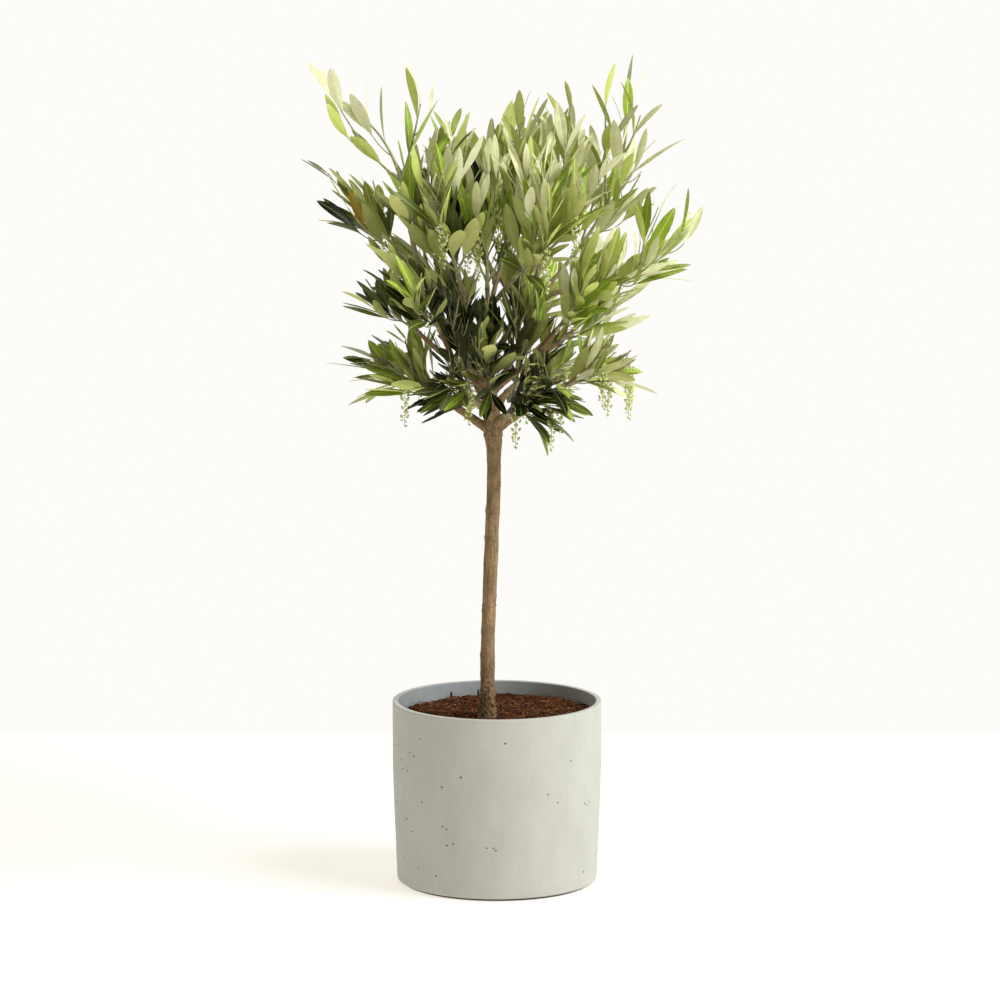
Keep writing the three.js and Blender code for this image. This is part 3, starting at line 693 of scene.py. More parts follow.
class Pile:
    """Points and faces collected for one joined mesh. A face's kind is its material's place."""

    def __init__(self):
        self.points, self.faces, self.kinds, self.count = [], [], [], 0

    def add(self, points, *blocks, kind=0):
        points = np.asarray(points, float).reshape(-1, 3)
        for block in blocks:
            block = np.asarray(block) + self.count
            self.faces.extend(block.tolist())
            self.kinds.extend(np.broadcast_to(kind, len(block)).tolist())
        self.points.append(points)
        self.count += len(points)

    def make(self, name, slot, *materials, smooth=True):
        mesh = bpy.data.meshes.new(name)
        mesh.from_pydata((np.concatenate(self.points) * MM).tolist(), [], self.faces)
        for material in materials:
            mesh.materials.append(material)
        mesh.polygons.foreach_set("material_index", np.array(self.kinds, np.int32))
        mesh.polygons.foreach_set("use_smooth", np.full(len(self.faces), smooth))
        mesh.update()
        return add_piece(name, mesh)


def add_object(name, data):
    thing = bpy.data.objects.new(name, data)
    bpy.context.scene.collection.objects.link(thing)
    return thing


def add_piece(name, mesh):
    piece = add_object(name, mesh)
    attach(piece, "root")
    return piece


def grid_quads(rows, columns, closed=True):
    """The quads of a grid of points that are listed row after row."""
    across = np.arange(columns if closed else columns - 1)
    after = (across + 1) % columns
    base = np.arange(rows - 1)[:, None] * columns
    corners = [base + across, base + after, base + columns + after, base + columns + across]
    return np.stack(corners, axis=2).reshape(-1, 4)


def round_ends(rows, columns):
    """The flat faces that close a stack of rings at its first and last ring."""
    around = np.arange(columns)
    return np.stack([around[::-1], (rows - 1) * columns + around])


def frames(points):
    """Two directions square to a path at each point, turning as little as they can."""
    tangents = np.gradient(points, axis=0)
    tangents /= np.linalg.norm(tangents, axis=1, keepdims=True)
    side = np.cross(tangents[0], FIRST_SIDE)
    found = []
    for tangent in tangents:
        side = side - tangent * (side @ tangent)
        side = side / np.linalg.norm(side)
        found.append(side)
    return np.array(found), np.cross(tangents, np.array(found))


def ring_turns(sides):
    """The angles of the points of a ring, in radians."""
    return np.arange(sides) * 2 * math.pi / sides


def rings_along(points, radii, sides):
    """Rings of points round a path, one at each of its points."""
    points = np.array(points, float)
    side, over = frames(points)
    turns = ring_turns(sides)
    outward = np.cos(turns)[None, :, None] * side[:, None]
    outward = outward + np.sin(turns)[None, :, None] * over[:, None]
    return points[:, None] + np.asarray(radii, float)[:, None, None] * outward


def add_tube(pile, points, radii, sides, kind=0):
    """A closed tube with a rounded tip."""
    points, radii = np.array(points, float), np.asarray(radii, float)
    beyond = points[-1] - points[-2]
    beyond *= radii[-1] * TUBE_TIP.length / np.linalg.norm(beyond)
    points = np.concatenate([points, [points[-1] + beyond]])
    radii = np.append(radii, radii[-1] * TUBE_TIP.radius)
    rings = rings_along(points, radii, sides)
    quads, ends = grid_quads(len(points), sides), round_ends(len(points), sides)
    pile.add(rings, quads, ends, kind=kind)


def unit_ball(subdivisions):
    """A ball of radius 1 made of triangles: its points and its faces."""
    ball = bmesh.new()
    bmesh.ops.create_icosphere(ball, subdivisions=subdivisions, radius=1)
    points = np.array([vertex.co for vertex in ball.verts])
    faces = np.array([[vertex.index for vertex in face.verts] for face in ball.faces])
    ball.free()
    return points, faces


def arc(middle, radius, start, end, steps):
    """Points of a profile on an arc, from one angle to another."""
    x, z = middle
    turns = [math.radians(lerp(start, end, i / steps)) for i in range(steps + 1)]
    return [(x + radius * math.cos(turn), z + radius * math.sin(turn)) for turn in turns]


def lathe_rings(profile, sides):
    """The rings of a shape turned round the upright axis."""
    turns = ring_turns(sides)
    radii, heights = np.array(profile).T
    rings = np.empty((len(profile), sides, 3))
    rings[:, :, 0] = radii[:, None] * np.cos(turns)
    rings[:, :, 1] = radii[:, None] * np.sin(turns)
    rings[:, :, 2] = heights[:, None]
    return rings


def noise_at(points, scale, seed=0.0):
    """Smooth noise from -1 to 1 at each point. scale is how fast it changes along x, y and z."""
    places = np.asarray(points).reshape(-1, 3) * scale + seed
    values = [noise.noise(place) for place in places.tolist()]
    return np.array(values).reshape(np.asarray(points).shape[:-1])


def waves_at(points, waves, seeds=1):
    """Noises added up. Each wave is how fast it changes, its seed and its depth."""
    return sum(noise_at(points, scale, seed * seeds) * depth for scale, seed, depth in waves)


def hump(away, width):
    """A smooth hump: 1 where away is 0, and near 0 a few widths off."""
    return np.exp(-((away / width) ** 2))


# Materials.


def new_material(name, roughness, specular=0.5):
    material = bpy.data.materials.new(name)
    material.use_nodes = True
    shader = material.node_tree.nodes["Principled BSDF"]
    shader.inputs["Roughness"].default_value = roughness
    shader.inputs["Specular IOR Level"].default_value = specular
    return material, shader


def add_node(material, kind, **values):
    """A node with its inputs set. An input's name has underscores in place of its spaces."""
    node = material.node_tree.nodes.new(kind)
    for name, value in values.items():
        node.inputs[name.replace("_", " ")].default_value = value
    return node


def join(material, output, socket):
    material.node_tree.links.new(output, socket)


def noise_node(material, size, detail=4, stretch=(1, 1, 1), rough=0.55):
    """Noise whose lumps are about size mm wide, drawn out by stretch along x, y and z."""
    place = add_node(material, "ShaderNodeTexCoord")
    scaled = add_node(material, "ShaderNodeMapping", Scale=[1 / s for s in stretch])
    lumps = add_node(material, "ShaderNodeTexNoise", Scale=1 / (size * MM), Detail=detail,
                     Roughness=rough)
    join(material, place.outputs["Object"], scaled.inputs["Vector"])
    join(material, scaled.outputs["Vector"], lumps.inputs["Vector"])
    return lumps.outputs["Fac"]


def ramp_node(material, factor, *stops):
    """Tones dealt out along a factor. Each stop is a place from 0 to 1 and a colour."""
    ramp = add_node(material, "ShaderNodeValToRGB")
    join(material, factor, ramp.inputs["Fac"])
    elements = ramp.color_ramp.elements
    for element, (place, colour) in zip(elements, (stops[0], stops[-1])):
        element.position, element.color = place, (*colour, 1)
    for place, colour in stops[1:-1]:
        elements.new(place).color = (*colour, 1)
    return ramp.outputs["Color"]


def mix_node(material, factor, first, second, blend="MIX"):
    """Two colours mixed. The factor is a number or comes from a node."""
    mix = add_node(material, "ShaderNodeMix")
    mix.data_type, mix.blend_type = "RGBA", blend
    for socket, value in ((mix.inputs[0], factor), (mix.inputs[6], first), (mix.inputs[7], second)):
        if isinstance(value, bpy.types.NodeSocket):
            join(material, value, socket)
        else:
            socket.default_value = value
    return mix.outputs[2]


def height_factor(material, start, end):
    """A factor that goes from 0 at one height in mm to 1 at another."""
    place = add_node(material, "ShaderNodeTexCoord")
    parts = add_node(material, "ShaderNodeSeparateXYZ")
    spread = add_node(material, "ShaderNodeMapRange", From_Min=start * MM, From_Max=end * MM)
    join(material, place.outputs["Object"], parts.inputs["Vector"])
    join(material, parts.outputs["Z"], spread.inputs["Value"])
    return spread.outputs["Result"]


def set_colour(material, shader, colour):
    join(material, colour, shader.inputs["Base Color"])


def set_bump(material, shader, height, depth, strength=1.0):
    """A relief depth mm deep where the height goes from 0 to 1."""
    bump = add_node(material, "ShaderNodeBump", Strength=strength, Distance=depth * MM)
    join(material, height, bump.inputs["Height"])
    join(material, bump.outputs["Normal"], shader.inputs["Normal"])


def concrete_material(name, pale, grey):
    """Cast concrete: cloudy, with fine grains and a dusty, matt skin."""
    material, shader = new_material(name, roughness=0.78, specular=0.35)
    clouds = noise_node(material, size=26, detail=6, stretch=(1, 1, 1.8), rough=0.66)
    body = ramp_node(material, clouds, (0.3, grey), (0.7, pale))
    grains = noise_node(material, size=3)
    grained = ramp_node(material, grains, (0.3, (0.93, 0.93, 0.92)), (0.5, (1, 1, 1)))
    set_colour(material, shader, mix_node(material, 0.6, body, grained, "MULTIPLY"))
    set_bump(material, shader, noise_node(material, size=2.2, detail=6), depth=0.12, strength=0.4)
    return material


def plain_material(name, dark, light, size, roughness, specular=0.4, depth=0.1):
    """A colour that wanders between two tones, with a relief that is finer than its lumps."""
    material, shader = new_material(name, roughness, specular)
    lumps = noise_node(material, size)
    set_colour(material, shader, ramp_node(material, lumps, (0.32, dark), (0.68, light)))
    set_bump(material, shader, noise_node(material, size * 0.4), depth)
    return material


def bark_material(name, stretch):
    """Bark with streaks along the limb, patches and marks: cracked at its foot, green above."""
    material, shader = new_material(name, roughness=0.88, specular=0.25)
    streaks = noise_node(material, size=2.0, detail=6, stretch=stretch, rough=0.65)
    body = ramp_node(
        material, streaks,
        (0.28, (0.14, 0.090, 0.045)), (0.44, (0.27, 0.180, 0.094)),
        (0.58, (0.35, 0.245, 0.136)), (0.76, (0.50, 0.38, 0.24)),
    )
    patches = noise_node(material, size=16, detail=3)
    tinted = ramp_node(material, patches, (0.35, (0.70, 0.68, 0.62)), (0.65, (1, 0.95, 0.92)))
    body = mix_node(material, 0.8, body, tinted, "MULTIPLY")
    marks = noise_node(material, size=1.8, detail=3, stretch=(2.6, 2.6, 0.7))
    marked = ramp_node(material, marks, (0.36, (0.52, 0.48, 0.44)), (0.46, (1, 1, 1)))
    body = mix_node(material, 0.7, body, marked, "MULTIPLY")
    cracks = noise_node(material, size=2.6, detail=5, stretch=(1, 1, 1.5))
    cracked = ramp_node(material, cracks, (0.40, (0.22, 0.18, 0.15)), (0.56, (1.05, 1, 0.95)))
    foot = height_factor(material, BARK.flaky_below + BARK.dark_over, SOIL.top + BARK.dark_over)
    body = mix_node(material, foot, body, cracked, "MULTIPLY")
    green = ramp_node(material, streaks, (0.3, (0.25, 0.23, 0.11)), (0.7, (0.52, 0.50, 0.28)))
    young = height_factor(material, *BARK.young)
    set_colour(material, shader, mix_node(material, young, body, green))
    grain = noise_node(material, size=1.4, detail=5, stretch=stretch)
    set_bump(material, shader, grain, depth=0.5, strength=0.8)
    return material


def leaf_materials(tone, upper, under, rib, gloss):
    """The upper face, the underside and the midrib of one tone of leaf."""
    def mottled(part, colour, darkens, **look):
        dark = tuple(share * darkens for share in colour)
        return plain_material(f"leaf_{tone}{part}", dark, colour, **look)

    shine = 0.12 if tone == "deep" else 0.36
    return (
        mottled("", upper, 0.72, size=9, roughness=gloss, specular=shine, depth=0.12),
        mottled("_under", under, 0.85, size=7, roughness=0.7, specular=0.3, depth=0.08),
        mottled("_rib", rib, 0.85, size=5, roughness=0.5),
    )


# The planter and the soil.


def planter_radius(z):
    return PLANTER.rim_radius - PLANTER.narrows_by * (
        max(0, 1 - z / PLANTER.narrows_below) ** PLANTER.narrows_as
    )


def planter_profile():
    """The line that turns into the planter: from its underside, up the wall, down inside."""
    top, rim, inner = PLANTER.height, PLANTER.rim_radius, PLANTER.rim_radius - PLANTER.wall
    edge, lip, small = CAST.edge_round, CAST.lip_round, CAST.foot_round
    low, high, foot = PLANTER.foot_height + edge, top - lip, PLANTER.foot_radius
    wall = [lerp(low, high, i / CAST.wall_rows) for i in range(1, CAST.wall_rows)]
    return [
        (foot - 2 * small, 0),
        *arc((foot - small, small), small, -90, 0, steps=2),
        (foot, PLANTER.foot_height),
        *arc((planter_radius(0) - edge, low), edge, -90, 0, steps=5),
        *[(planter_radius(z), z) for z in wall],
        *arc((rim - lip, high), lip, 0, 90, steps=6),
        *arc((inner + lip, high), lip, 90, 180, steps=6),
        *[(inner, z) for z in CAST.inner_heights],
        (planter_radius(PLANTER.floor) - PLANTER.wall, PLANTER.floor),
    ]


def build_planter(outside, inside, hole_and_foot_shade):
    """The cast tub, turned on its axis, a little uneven, with small air holes in its wall."""
    rings = lathe_rings(planter_profile(), CAST.sides)
    outward = rings[:, :, :2] / np.linalg.norm(rings[:, :, :2], axis=2, keepdims=True)
    rings[:, :, :2] += outward * (noise_at(rings, CAST.wave) * CAST.uneven)[:, :, None]
    rows, sides = rings.shape[:2]
    quads = grid_quads(rows, sides)
    middles = rings.reshape(-1, 3)[quads].mean(1)
    heights, spans = middles[:, 2], np.linalg.norm(middles[:, :2], axis=1)
    inner = spans < PLANTER.rim_radius - PLANTER.wall * CAST.inside_from
    foot = heights < PLANTER.foot_height + CAST.foot_below
    foot &= spans < planter_radius(0) - CAST.foot_within
    # Painted shade: the inside faces get the darker inner concrete, the foot's faces a near-black.
    kinds = np.where(inner & (heights > PLANTER.floor), 1, np.where(foot, 2, 0))
    pile = Pile()
    pile.add(rings, quads, round_ends(rows, sides))
    pile.kinds = [*kinds.tolist(), 0, 1]
    piece = pile.make("planter_shell", "planter", outside, inside, hole_and_foot_shade)
    low, high = PIT.heights
    wall = (heights > low) & (heights < high) & (spans > PLANTER.rim_radius - CAST.outer_within)
    pierce_pits(piece.data, np.nonzero(wall)[0])
    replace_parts(piece, "planter")


def pierce_pits(mesh, wall):
    """Air holes: a few of the wall's faces are set in, and their middles pushed inwards."""
    chance = Chance(PIT.seed)
    shell = bmesh.new()
    shell.from_mesh(mesh)
    shell.faces.ensure_lookup_table()
    chosen = set()
    for _ in range(PIT.count):
        first = int(wall[int(chance() * len(wall))])
        others = [
            first + int(chance.between(*PIT.columns)) + CAST.sides * int(chance.between(*PIT.rows))
            for _ in range(int(chance() * PIT.beside))
        ]
        chosen.update(index for index in (first, *others) if index in wall)
    for index in sorted(chosen):
        face = shell.faces[index]
        inset = chance.between(*PIT.inset)
        wide = math.sqrt(face.calc_area())
        bmesh.ops.inset_individual(shell, faces=[face], thickness=wide * inset)
        # Painted shade: a narrow hole is made near-black.
        if inset < PIT.dark_below:
            face.material_index = 2
        middle = bmesh.ops.poke(shell, faces=[face])["verts"][0]
        inward = Vector((-middle.co.x, -middle.co.y, 0)).normalized()
        middle.co += inward * (chance.between(*PIT.depth) * MM)
        shell.faces.ensure_lookup_table()
    shell.to_mesh(mesh)
    shell.free()


def from_trunk(x, y):
    return math.hypot(x - TRUNK.foot_x, y - TRUNK.foot_y)


def soil_height(x, y):
    uneven = smoothstep(from_trunk(x, y), SOIL.flat_radius, 2 * SOIL.flat_radius)
    wave = math.sin(x * SOIL.wave_x + 1) * math.cos(y * SOIL.wave_y)
    towards_x, towards_y = PEAT.rises_towards
    tilt = PEAT.rises * (towards_x * x + towards_y * y) / PLANTER.rim_radius
    return SOIL.top - SOIL.dip * uneven * (1 + wave) / 2 + tilt


def build_soil(peat, crumbs):
    """Loose potting soil: a lumpy bed with crumbs of coir and bark, and short fibres."""
    top = PLANTER.rim_radius - PLANTER.wall - 2 * CLEARANCE
    low = planter_radius(PLANTER.floor) - PLANTER.wall - 2 * CLEARANCE
    inwards = [top * (1 - (i / PEAT.rings) ** PEAT.rings_as) for i in range(PEAT.rings)]
    side = [(low, PLANTER.floor + CLEARANCE), (lerp(low, top, 0.5), SOIL.top / 2)]
    rings = lathe_rings([*side, *[(radius, SOIL.top) for radius in inwards]], PEAT.sides)
    surface = rings[len(side):]
    for point in surface.reshape(-1, 3):
        point[2] = soil_height(point[0], point[1])
    spans = np.linalg.norm(surface[:, :, :2], axis=2)
    faded = np.clip((top - spans) / PEAT.lumps_fade + PEAT.lumps_left, 0, 1)
    surface[:, :, 2] += waves_at(surface, PEAT.lumps) * faded
    bed = Pile()
    bed.add(rings, grid_quads(len(rings), PEAT.sides), round_ends(len(rings), PEAT.sides))
    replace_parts(bed.make("soil_bed", "potting_soil", peat), "soil")
    for part in (soil_crumbs(top, crumbs), soil_fibres(top, crumbs)):
        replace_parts(part, "soil")


def soil_places(chance, count, reach):
    """Places spread evenly over the soil, clear of the trunk."""
    for _ in range(count):
        span, turn = reach * math.sqrt(chance()), chance() * 2 * math.pi
        x, y = span * math.cos(turn), span * math.sin(turn)
        if from_trunk(x, y) > TRUNK.radius + PEAT.clear_of_trunk:
            yield Vector((x, y, soil_height(x, y)))


def soil_crumbs(reach, materials):
    """Crumbs of coir and bark. Those round the trunk are darker: painted shade round its foot."""
    chance, pile = Chance(CRUMB.seed), Pile()
    points, faces = unit_ball(1)
    waves = points @ np.array(CRUMB.rough_as)
    for place in soil_places(chance, CRUMB.count, reach - CRUMB.margin):
        size = chance.between(*CRUMB.sizes) ** 2 * CRUMB.size
        spans = (CRUMB.widths, CRUMB.widths, CRUMB.heights)
        shape = np.array([chance.between(*span) for span in spans])
        rough = 1 + CRUMB.rough * np.sin(waves + chance() * CRUMB.rough_turns)
        turned = points[:, [1, 2, 0]] if chance() < CRUMB.turned else points
        lift = Vector((0, 0, chance.between(*CRUMB.lies)))
        kind = 0 if chance() < CRUMB.dark else (1 if chance() < CRUMB.red else 2)
        # Painted shade: crumbs round the trunk are made darker.
        if from_trunk(place.x, place.y) < CRUMB.dark_round_trunk:
            kind = max(kind - 1, 0)
        crumb = turned * rough[:, None] * shape * size + np.array(place + lift)
        pile.add(crumb, faces, kind=kind)
    return pile.make("soil_crumbs", "potting_soil", *materials, smooth=False)


def soil_fibres(reach, materials):
    """Short bent fibres that lie on the soil, and the stubs of bark."""
    chance, pile = Chance(FIBRE.seed), Pile()
    for place in soil_places(chance, FIBRE.count, reach - FIBRE.margin):
        turn, length = chance() * 360, chance.between(*FIBRE.lengths)
        bend = chance.scatter(FIBRE.bend)
        points, at = [], place + Vector((0, 0, chance.between(*FIBRE.lies)))
        for i in range(FIBRE.steps + 1):
            rise = FIBRE.rise * math.sin(i) + chance.scatter(FIBRE.rise_scatter)
            at = at + heading(turn + bend * i / FIBRE.steps, rise) * (length / FIBRE.steps)
            points.append((at.x, at.y, max(at.z, soil_height(at.x, at.y) + FIBRE.above)))
        radii = [chance.between(*FIBRE.radii)] * len(points)
        add_tube(pile, points, radii, FIBRE.sides, kind=1 if chance() < FIBRE.red else 2)
    middle_lean, top_lean = STUB.leans
    for x, y, height, radius in STUB.places:
        foot = Vector((x, y, soil_height(x, y) - STUB.sunk))
        middle = foot + Vector((middle_lean, 0, height / 2))
        top = foot + Vector((top_lean, 0, height))
        add_tube(pile, [foot, middle, top], [radius * share for share in STUB.tapers], STUB.sides)
    return pile.make("soil_fibres", "potting_soil", *materials)


# The bark.


def trunk_relief(points, turns, heights):
    """How far the bark stands out at each point of the trunk: streaks, scars and knots."""
    local = points - points.mean(1, keepdims=True)
    local[:, :, 2] = heights[:, None]
    relief = waves_at(local, BARK.waves)
    flaky = np.clip((BARK.flaky_below - heights) / BARK.flaky_over, 0, 1)[:, None]
    flakes = 0.5 - np.abs(waves_at(local, [BARK.flake_wave]))
    relief += flaky * (flakes * BARK.flake_depth + waves_at(local, [BARK.rough_wave]))
    for scar in BARK.ring_scars:
        above = heights - scar
        groove = BARK.groove_deep * hump(above + BARK.groove_below, BARK.groove_width)
        relief += (BARK.scar_proud * hump(above, BARK.scar_width) - groove)[:, None]
    for height, azimuth, width, proud in KNOTS:
        aside = np.abs((turns - math.radians(azimuth) + math.pi) % (2 * math.pi) - math.pi)
        above = (heights - height)[:, None] * BARK.knot_squash
        apart = np.hypot(aside[None] * TRUNK.radius, above)
        hollow = BARK.hollow_deep * hump(apart, width * BARK.hollow_width)
        relief += proud * (hump(apart, width) - hollow)
    return relief


def add_trunk(pile):
    trunk = trunk_limb()
    shares, turns = np.linspace(0, 1, BARK.rows), ring_turns(BARK.sides)
    around = np.stack([np.cos(turns), np.sin(turns), 0 * turns], axis=1)
    middles = np.array([trunk.point_at(t) for t in shares])
    radii = np.array([trunk.radius_at(t) for t in shares])
    smooth = middles[:, None] + around[None] * radii[:, None, None]
    rings = smooth + around[None] * trunk_relief(smooth, turns, middles[:, 2])[:, :, None]
    rings[0, :, 2] -= BARK.sunk
    pile.add(rings, grid_quads(*rings.shape[:2]), round_ends(*rings.shape[:2]))


def add_bough(pile, limb):
    """A bough with a collar where it leaves its parent, and streaks along it."""
    bark = BOUGH_BARK
    rows = max(int(limb.length * limb.end / bark.row_gap), bark.fewest_rows)
    shares = [lerp(0, limb.end + bark.past_end, i / (rows - 1)) for i in range(rows)]
    middles = np.array([limb.point_at(min(t, 1)) for t in shares])
    radii = np.array([limb.radius_at(t) for t in shares])
    steps = np.linalg.norm(np.diff(middles, axis=0), axis=1)
    gone = np.concatenate([[0], np.cumsum(steps)])
    reach = limb.parent.radius_at(bark.collar_from) * bark.collar_reach
    collar = 1 + bark.collar * np.exp(-gone / reach)
    smooth = rings_along(middles, radii * collar, bark.sides)
    straight = lathe_rings(list(zip(radii, gone)), bark.sides)
    relief = waves_at(straight, bark.waves, limb.index)
    from_node = gone % bark.node_gap - bark.node_at
    relief += (bark.node_proud * np.exp(-(from_node**2) / bark.node_spread))[:, None]
    rings = smooth + (smooth - middles[:, None]) * (relief / radii[:, None])[:, :, None]
    pile.add(rings, grid_quads(rows, bark.sides), round_ends(rows, bark.sides))


def build_wood(crown, trunk_bark, bough_bark):
    trunk = Pile()
    add_trunk(trunk)
    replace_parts(trunk.make("trunk_bark", "bark", trunk_bark), "trunk")
    boughs = Pile()
    for limb in crown.masses:
        add_bough(boughs, limb)
    names = [f"bough_{limb.name}" for limb in crown.masses]
    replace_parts(boughs.make("bough_bark", "bark", bough_bark), *names)


# Twigs, leaves and flower buds.


def add_shoot(pile, shoot):
    last = len(shoot.points) - 1
    radii = [lerp(*shoot.radii, i / last) for i in range(last + 1)]
    radii[0] *= TWIG.collar
    add_tube(pile, shoot.points, radii, TWIG.sides if shoot.number else TWIG.stem_sides)


def shape_leaf(leaf):
    """How a leaf bends, folds, twists and sways, by chance."""
    chance = Chance(int(leaf.look * BLADE.looks))
    leaf.bend, leaf.fold = chance.between(*BLADE.bend), chance.between(*BLADE.fold)
    leaf.twist, leaf.sway = chance.scatter(BLADE.twist), chance.scatter(BLADE.sway)


def leaf_arrays(leaves):
    """The leaves' shapes as arrays: each leaf bends, folds along its midrib and twists."""
    def columns(*names):
        return [np.array([getattr(leaf, name) for leaf in leaves], float)[:, None]
                for name in names]

    s = np.array(BLADE.rows)[None, :]
    at_end = (s == 0) | (s == 1)
    bend, fold, twist, sway, length, half = columns("bend", "fold", "twist", "sway", "length", "half")
    root, direction, normal, across = columns("root", "direction", "normal", "across")
    bare = np.clip((s - BLADE.petiole) / (1 - BLADE.petiole), 0, 1)
    blade = np.sin(math.pi * bare**BLADE.widest_early) ** BLADE.fullness
    edge = np.maximum(half * blade, np.where(s < 0.5, BLADE.petiole_half, BLADE.tip_half))
    edge = edge * np.where(at_end, BLADE.end_half, 1)
    ends = np.where(at_end, 0.0, 1.0)
    thick = (BLADE.thickness + BLADE.stalk_thicker * hump(s, BLADE.stalk_fades)) * ends
    turned = bend * s
    turned = np.where(np.abs(turned) < 1e-5, 1e-5, turned)[:, :, None]
    path = direction * np.sin(turned) - normal * (1 - np.cos(turned))
    reach = (length * s)[:, :, None] / turned
    centre = root + path * reach + across * (length * sway * s**2)[:, :, None]
    raised = normal * np.cos(turned) + direction * np.sin(turned)
    roll = (twist * s)[:, :, None]
    aside = across * np.cos(roll) + raised * np.sin(roll)
    raised = raised * np.cos(roll) - across * np.sin(roll)
    rib = np.minimum(BLADE.rib_half, edge * BLADE.rib_share)
    middle = (edge + rib) / 2

    def skin(lines, face, ridge):
        """One face of the leaves, from its lines of points along the leaf."""
        x = np.stack(lines, axis=2)
        share = x / edge[:, :, None]
        lift = fold[:, :, None] * np.abs(x) - BLADE.curl * edge[:, :, None] * share**4
        lift = lift + face * thick[:, :, None] / 2 * (1 - share**2)
        on_rib = np.abs(x) <= rib[:, :, None] + 1e-6
        lift = lift + np.where(on_rib, ridge * (ends * (1 - BLADE.rib_fades * s))[:, :, None], 0)
        x, lift = x[..., None], lift[..., None]
        return centre[:, :, None] + aside[:, :, None] * x + raised[:, :, None] * lift

    top = skin([-edge, -middle, -rib, rib, middle, edge], 1, -BLADE.rib_sunk)
    low = skin([edge, rib, -rib, -edge], -1, -BLADE.rib_raised)
    return top, low


def add_leaves(pile, leaves):
    for leaf in leaves:
        shape_leaf(leaf)
    top, low = leaf_arrays(leaves)
    count, rows = top.shape[:2]
    for points, kinds in ((top, (0, 0, 2, 0, 0)), (low, (1, 2, 1))):
        columns = points.shape[2]
        quads = grid_quads(rows, columns, closed=False)
        offsets = np.arange(count)[:, None, None] * rows * columns
        kinds = np.tile(kinds, (rows - 1) * count)
        pile.add(points, (quads[None] + offsets).reshape(-1, 4), kind=kinds)


def add_panicle(pile, stalk, chance, ball):
    """A hanging stalk with short opposite side stalks, each ending in a few round buds."""
    last = len(stalk.points) - 1
    tip = PANICLE.stalk_radius * PANICLE.stalk_tapers
    radii = [lerp(PANICLE.stalk_radius, tip, i / last) for i in range(last + 1)]
    add_tube(pile, stalk.points, radii, PANICLE.stalk_sides)
    points, faces = ball
    for i in range(PANICLE.nodes):
        share = lerp(PANICLE.first_node, 1, i / (PANICLE.nodes - 1))
        node = along(stalk, share)
        usual = PANICLE.side_length * (PANICLE.side_longest - PANICLE.side_shrinks * share)
        for side in (0, 1):
            turn = 90 * i + 180 * side + chance.scatter(PANICLE.side_scatter)
            aside = branch_off(node.direction, PANICLE.side_angle, turn)
            end = node.point + aside * (usual * chance.between(*PANICLE.side_varies))
            line = [node.point, node.point.lerp(end, 0.5), end]
            add_tube(pile, line, PANICLE.side_radii, PANICLE.side_sides)
            for bud in range(PANICLE.buds if share < PANICLE.one_bud_from else 1):
                away = branch_off(aside, PANICLE.bud_angle, PANICLE.bud_turn * bud + turn)
                place = end + away * (PANICLE.bud_radius * PANICLE.bud_off)
                size = PANICLE.bud_radius * chance.between(*PANICLE.bud_sizes)
                pile.add(points * size + np.array(place), faces, kind=1)


def leaf_tone(leaf):
    """The tone of a leaf, by its spray's chance, its own, and its place: painted light and shade."""
    if (leaf.mass.name, leaf.shoot.number) == (FADED.mass, FADED.twig):
        if FADED.along[0] < leaf.share < FADED.along[1]:
            return "ochre"
    x, y, z = leaf.root
    spray = Chance(seed_for(LEAF.seed, leaf.mass, leaf.shoot.number, SEED_STEPS.spray))()
    # Painted light: leaves higher, further right and further out are lighter, towards the key lamp.
    light = (
        LIGHTNESS.by_height * (z - LIGHTNESS.lowest) / LIGHTNESS.height
        + LIGHTNESS.by_width * x / LIGHTNESS.width
        + LIGHTNESS.by_outer * min(math.hypot(x, y) / LIGHTNESS.outer, LIGHTNESS.outermost)
        + LIGHTNESS.by_spray * spray + LIGHTNESS.by_leaf * (leaf.look - 0.5) + LIGHTNESS.more
        + SPRAY_LIGHT.get(leaf.mass.name, 0)
    )
    # Painted shade: leaves deep in the crown are made darker.
    off = leaf.root - Vector(SHADE.middle)
    aside = off.x + SHADE.leans * off.z
    away = (aside**2 + off.y**2) / SHADE.width**2 + (off.z / SHADE.height) ** 2
    light -= SHADE.darkens * math.exp(-away)
    return next(tone for tone, below in TONE_STEPS if light < below)


def build_twigs(shoots, names):
    """Woody twigs low in the crown, and green ones for all that is young."""
    woody, green = Pile(), Pile()
    for shoot in shoots:
        is_old = shoot.number < FINE_TWIG.first_number and shoot.points[0].z < BARK.young[0]
        add_shoot(woody if is_old else green, shoot)
    bark = plain_material(
        "twig_bark", (0.15, 0.115, 0.060), (0.42, 0.35, 0.21), size=3, roughness=0.8,
    )
    fresh = plain_material(
        "green_twig_bark", (0.25, 0.27, 0.11), (0.50, 0.50, 0.27), size=4, roughness=0.65,
    )
    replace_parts(woody.make("twigs_woody", "bark", bark), *names)
    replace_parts(green.make("twigs_green", "foliage", fresh), *names)


def build_leaves(leaves, names):
    for tone, (upper, under, rib, gloss) in TONES.items():
        pile = Pile()
        add_leaves(pile, [leaf for leaf in leaves if leaf_tone(leaf) == tone])
        materials = leaf_materials(tone, upper, under, rib, gloss)
        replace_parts(pile.make(f"leaves_{tone}", "foliage", *materials), *names)


def build_panicles(panicles, names):
    pile, ball = Pile(), unit_ball(PANICLE.bud_detail)
    for number, stalk in enumerate(panicles):
        add_panicle(pile, stalk, Chance(PANICLE.seed + number), ball)
    stalk = plain_material(
        "panicle_stalk", (0.30, 0.36, 0.10), (0.45, 0.52, 0.18), size=4, roughness=0.6,
    )
    bud = plain_material(
        "flower_bud", (0.55, 0.60, 0.20), (0.75, 0.78, 0.38), size=4, roughness=0.5,
    )
    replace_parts(pile.make("flower_buds", "foliage", stalk, bud), *names)


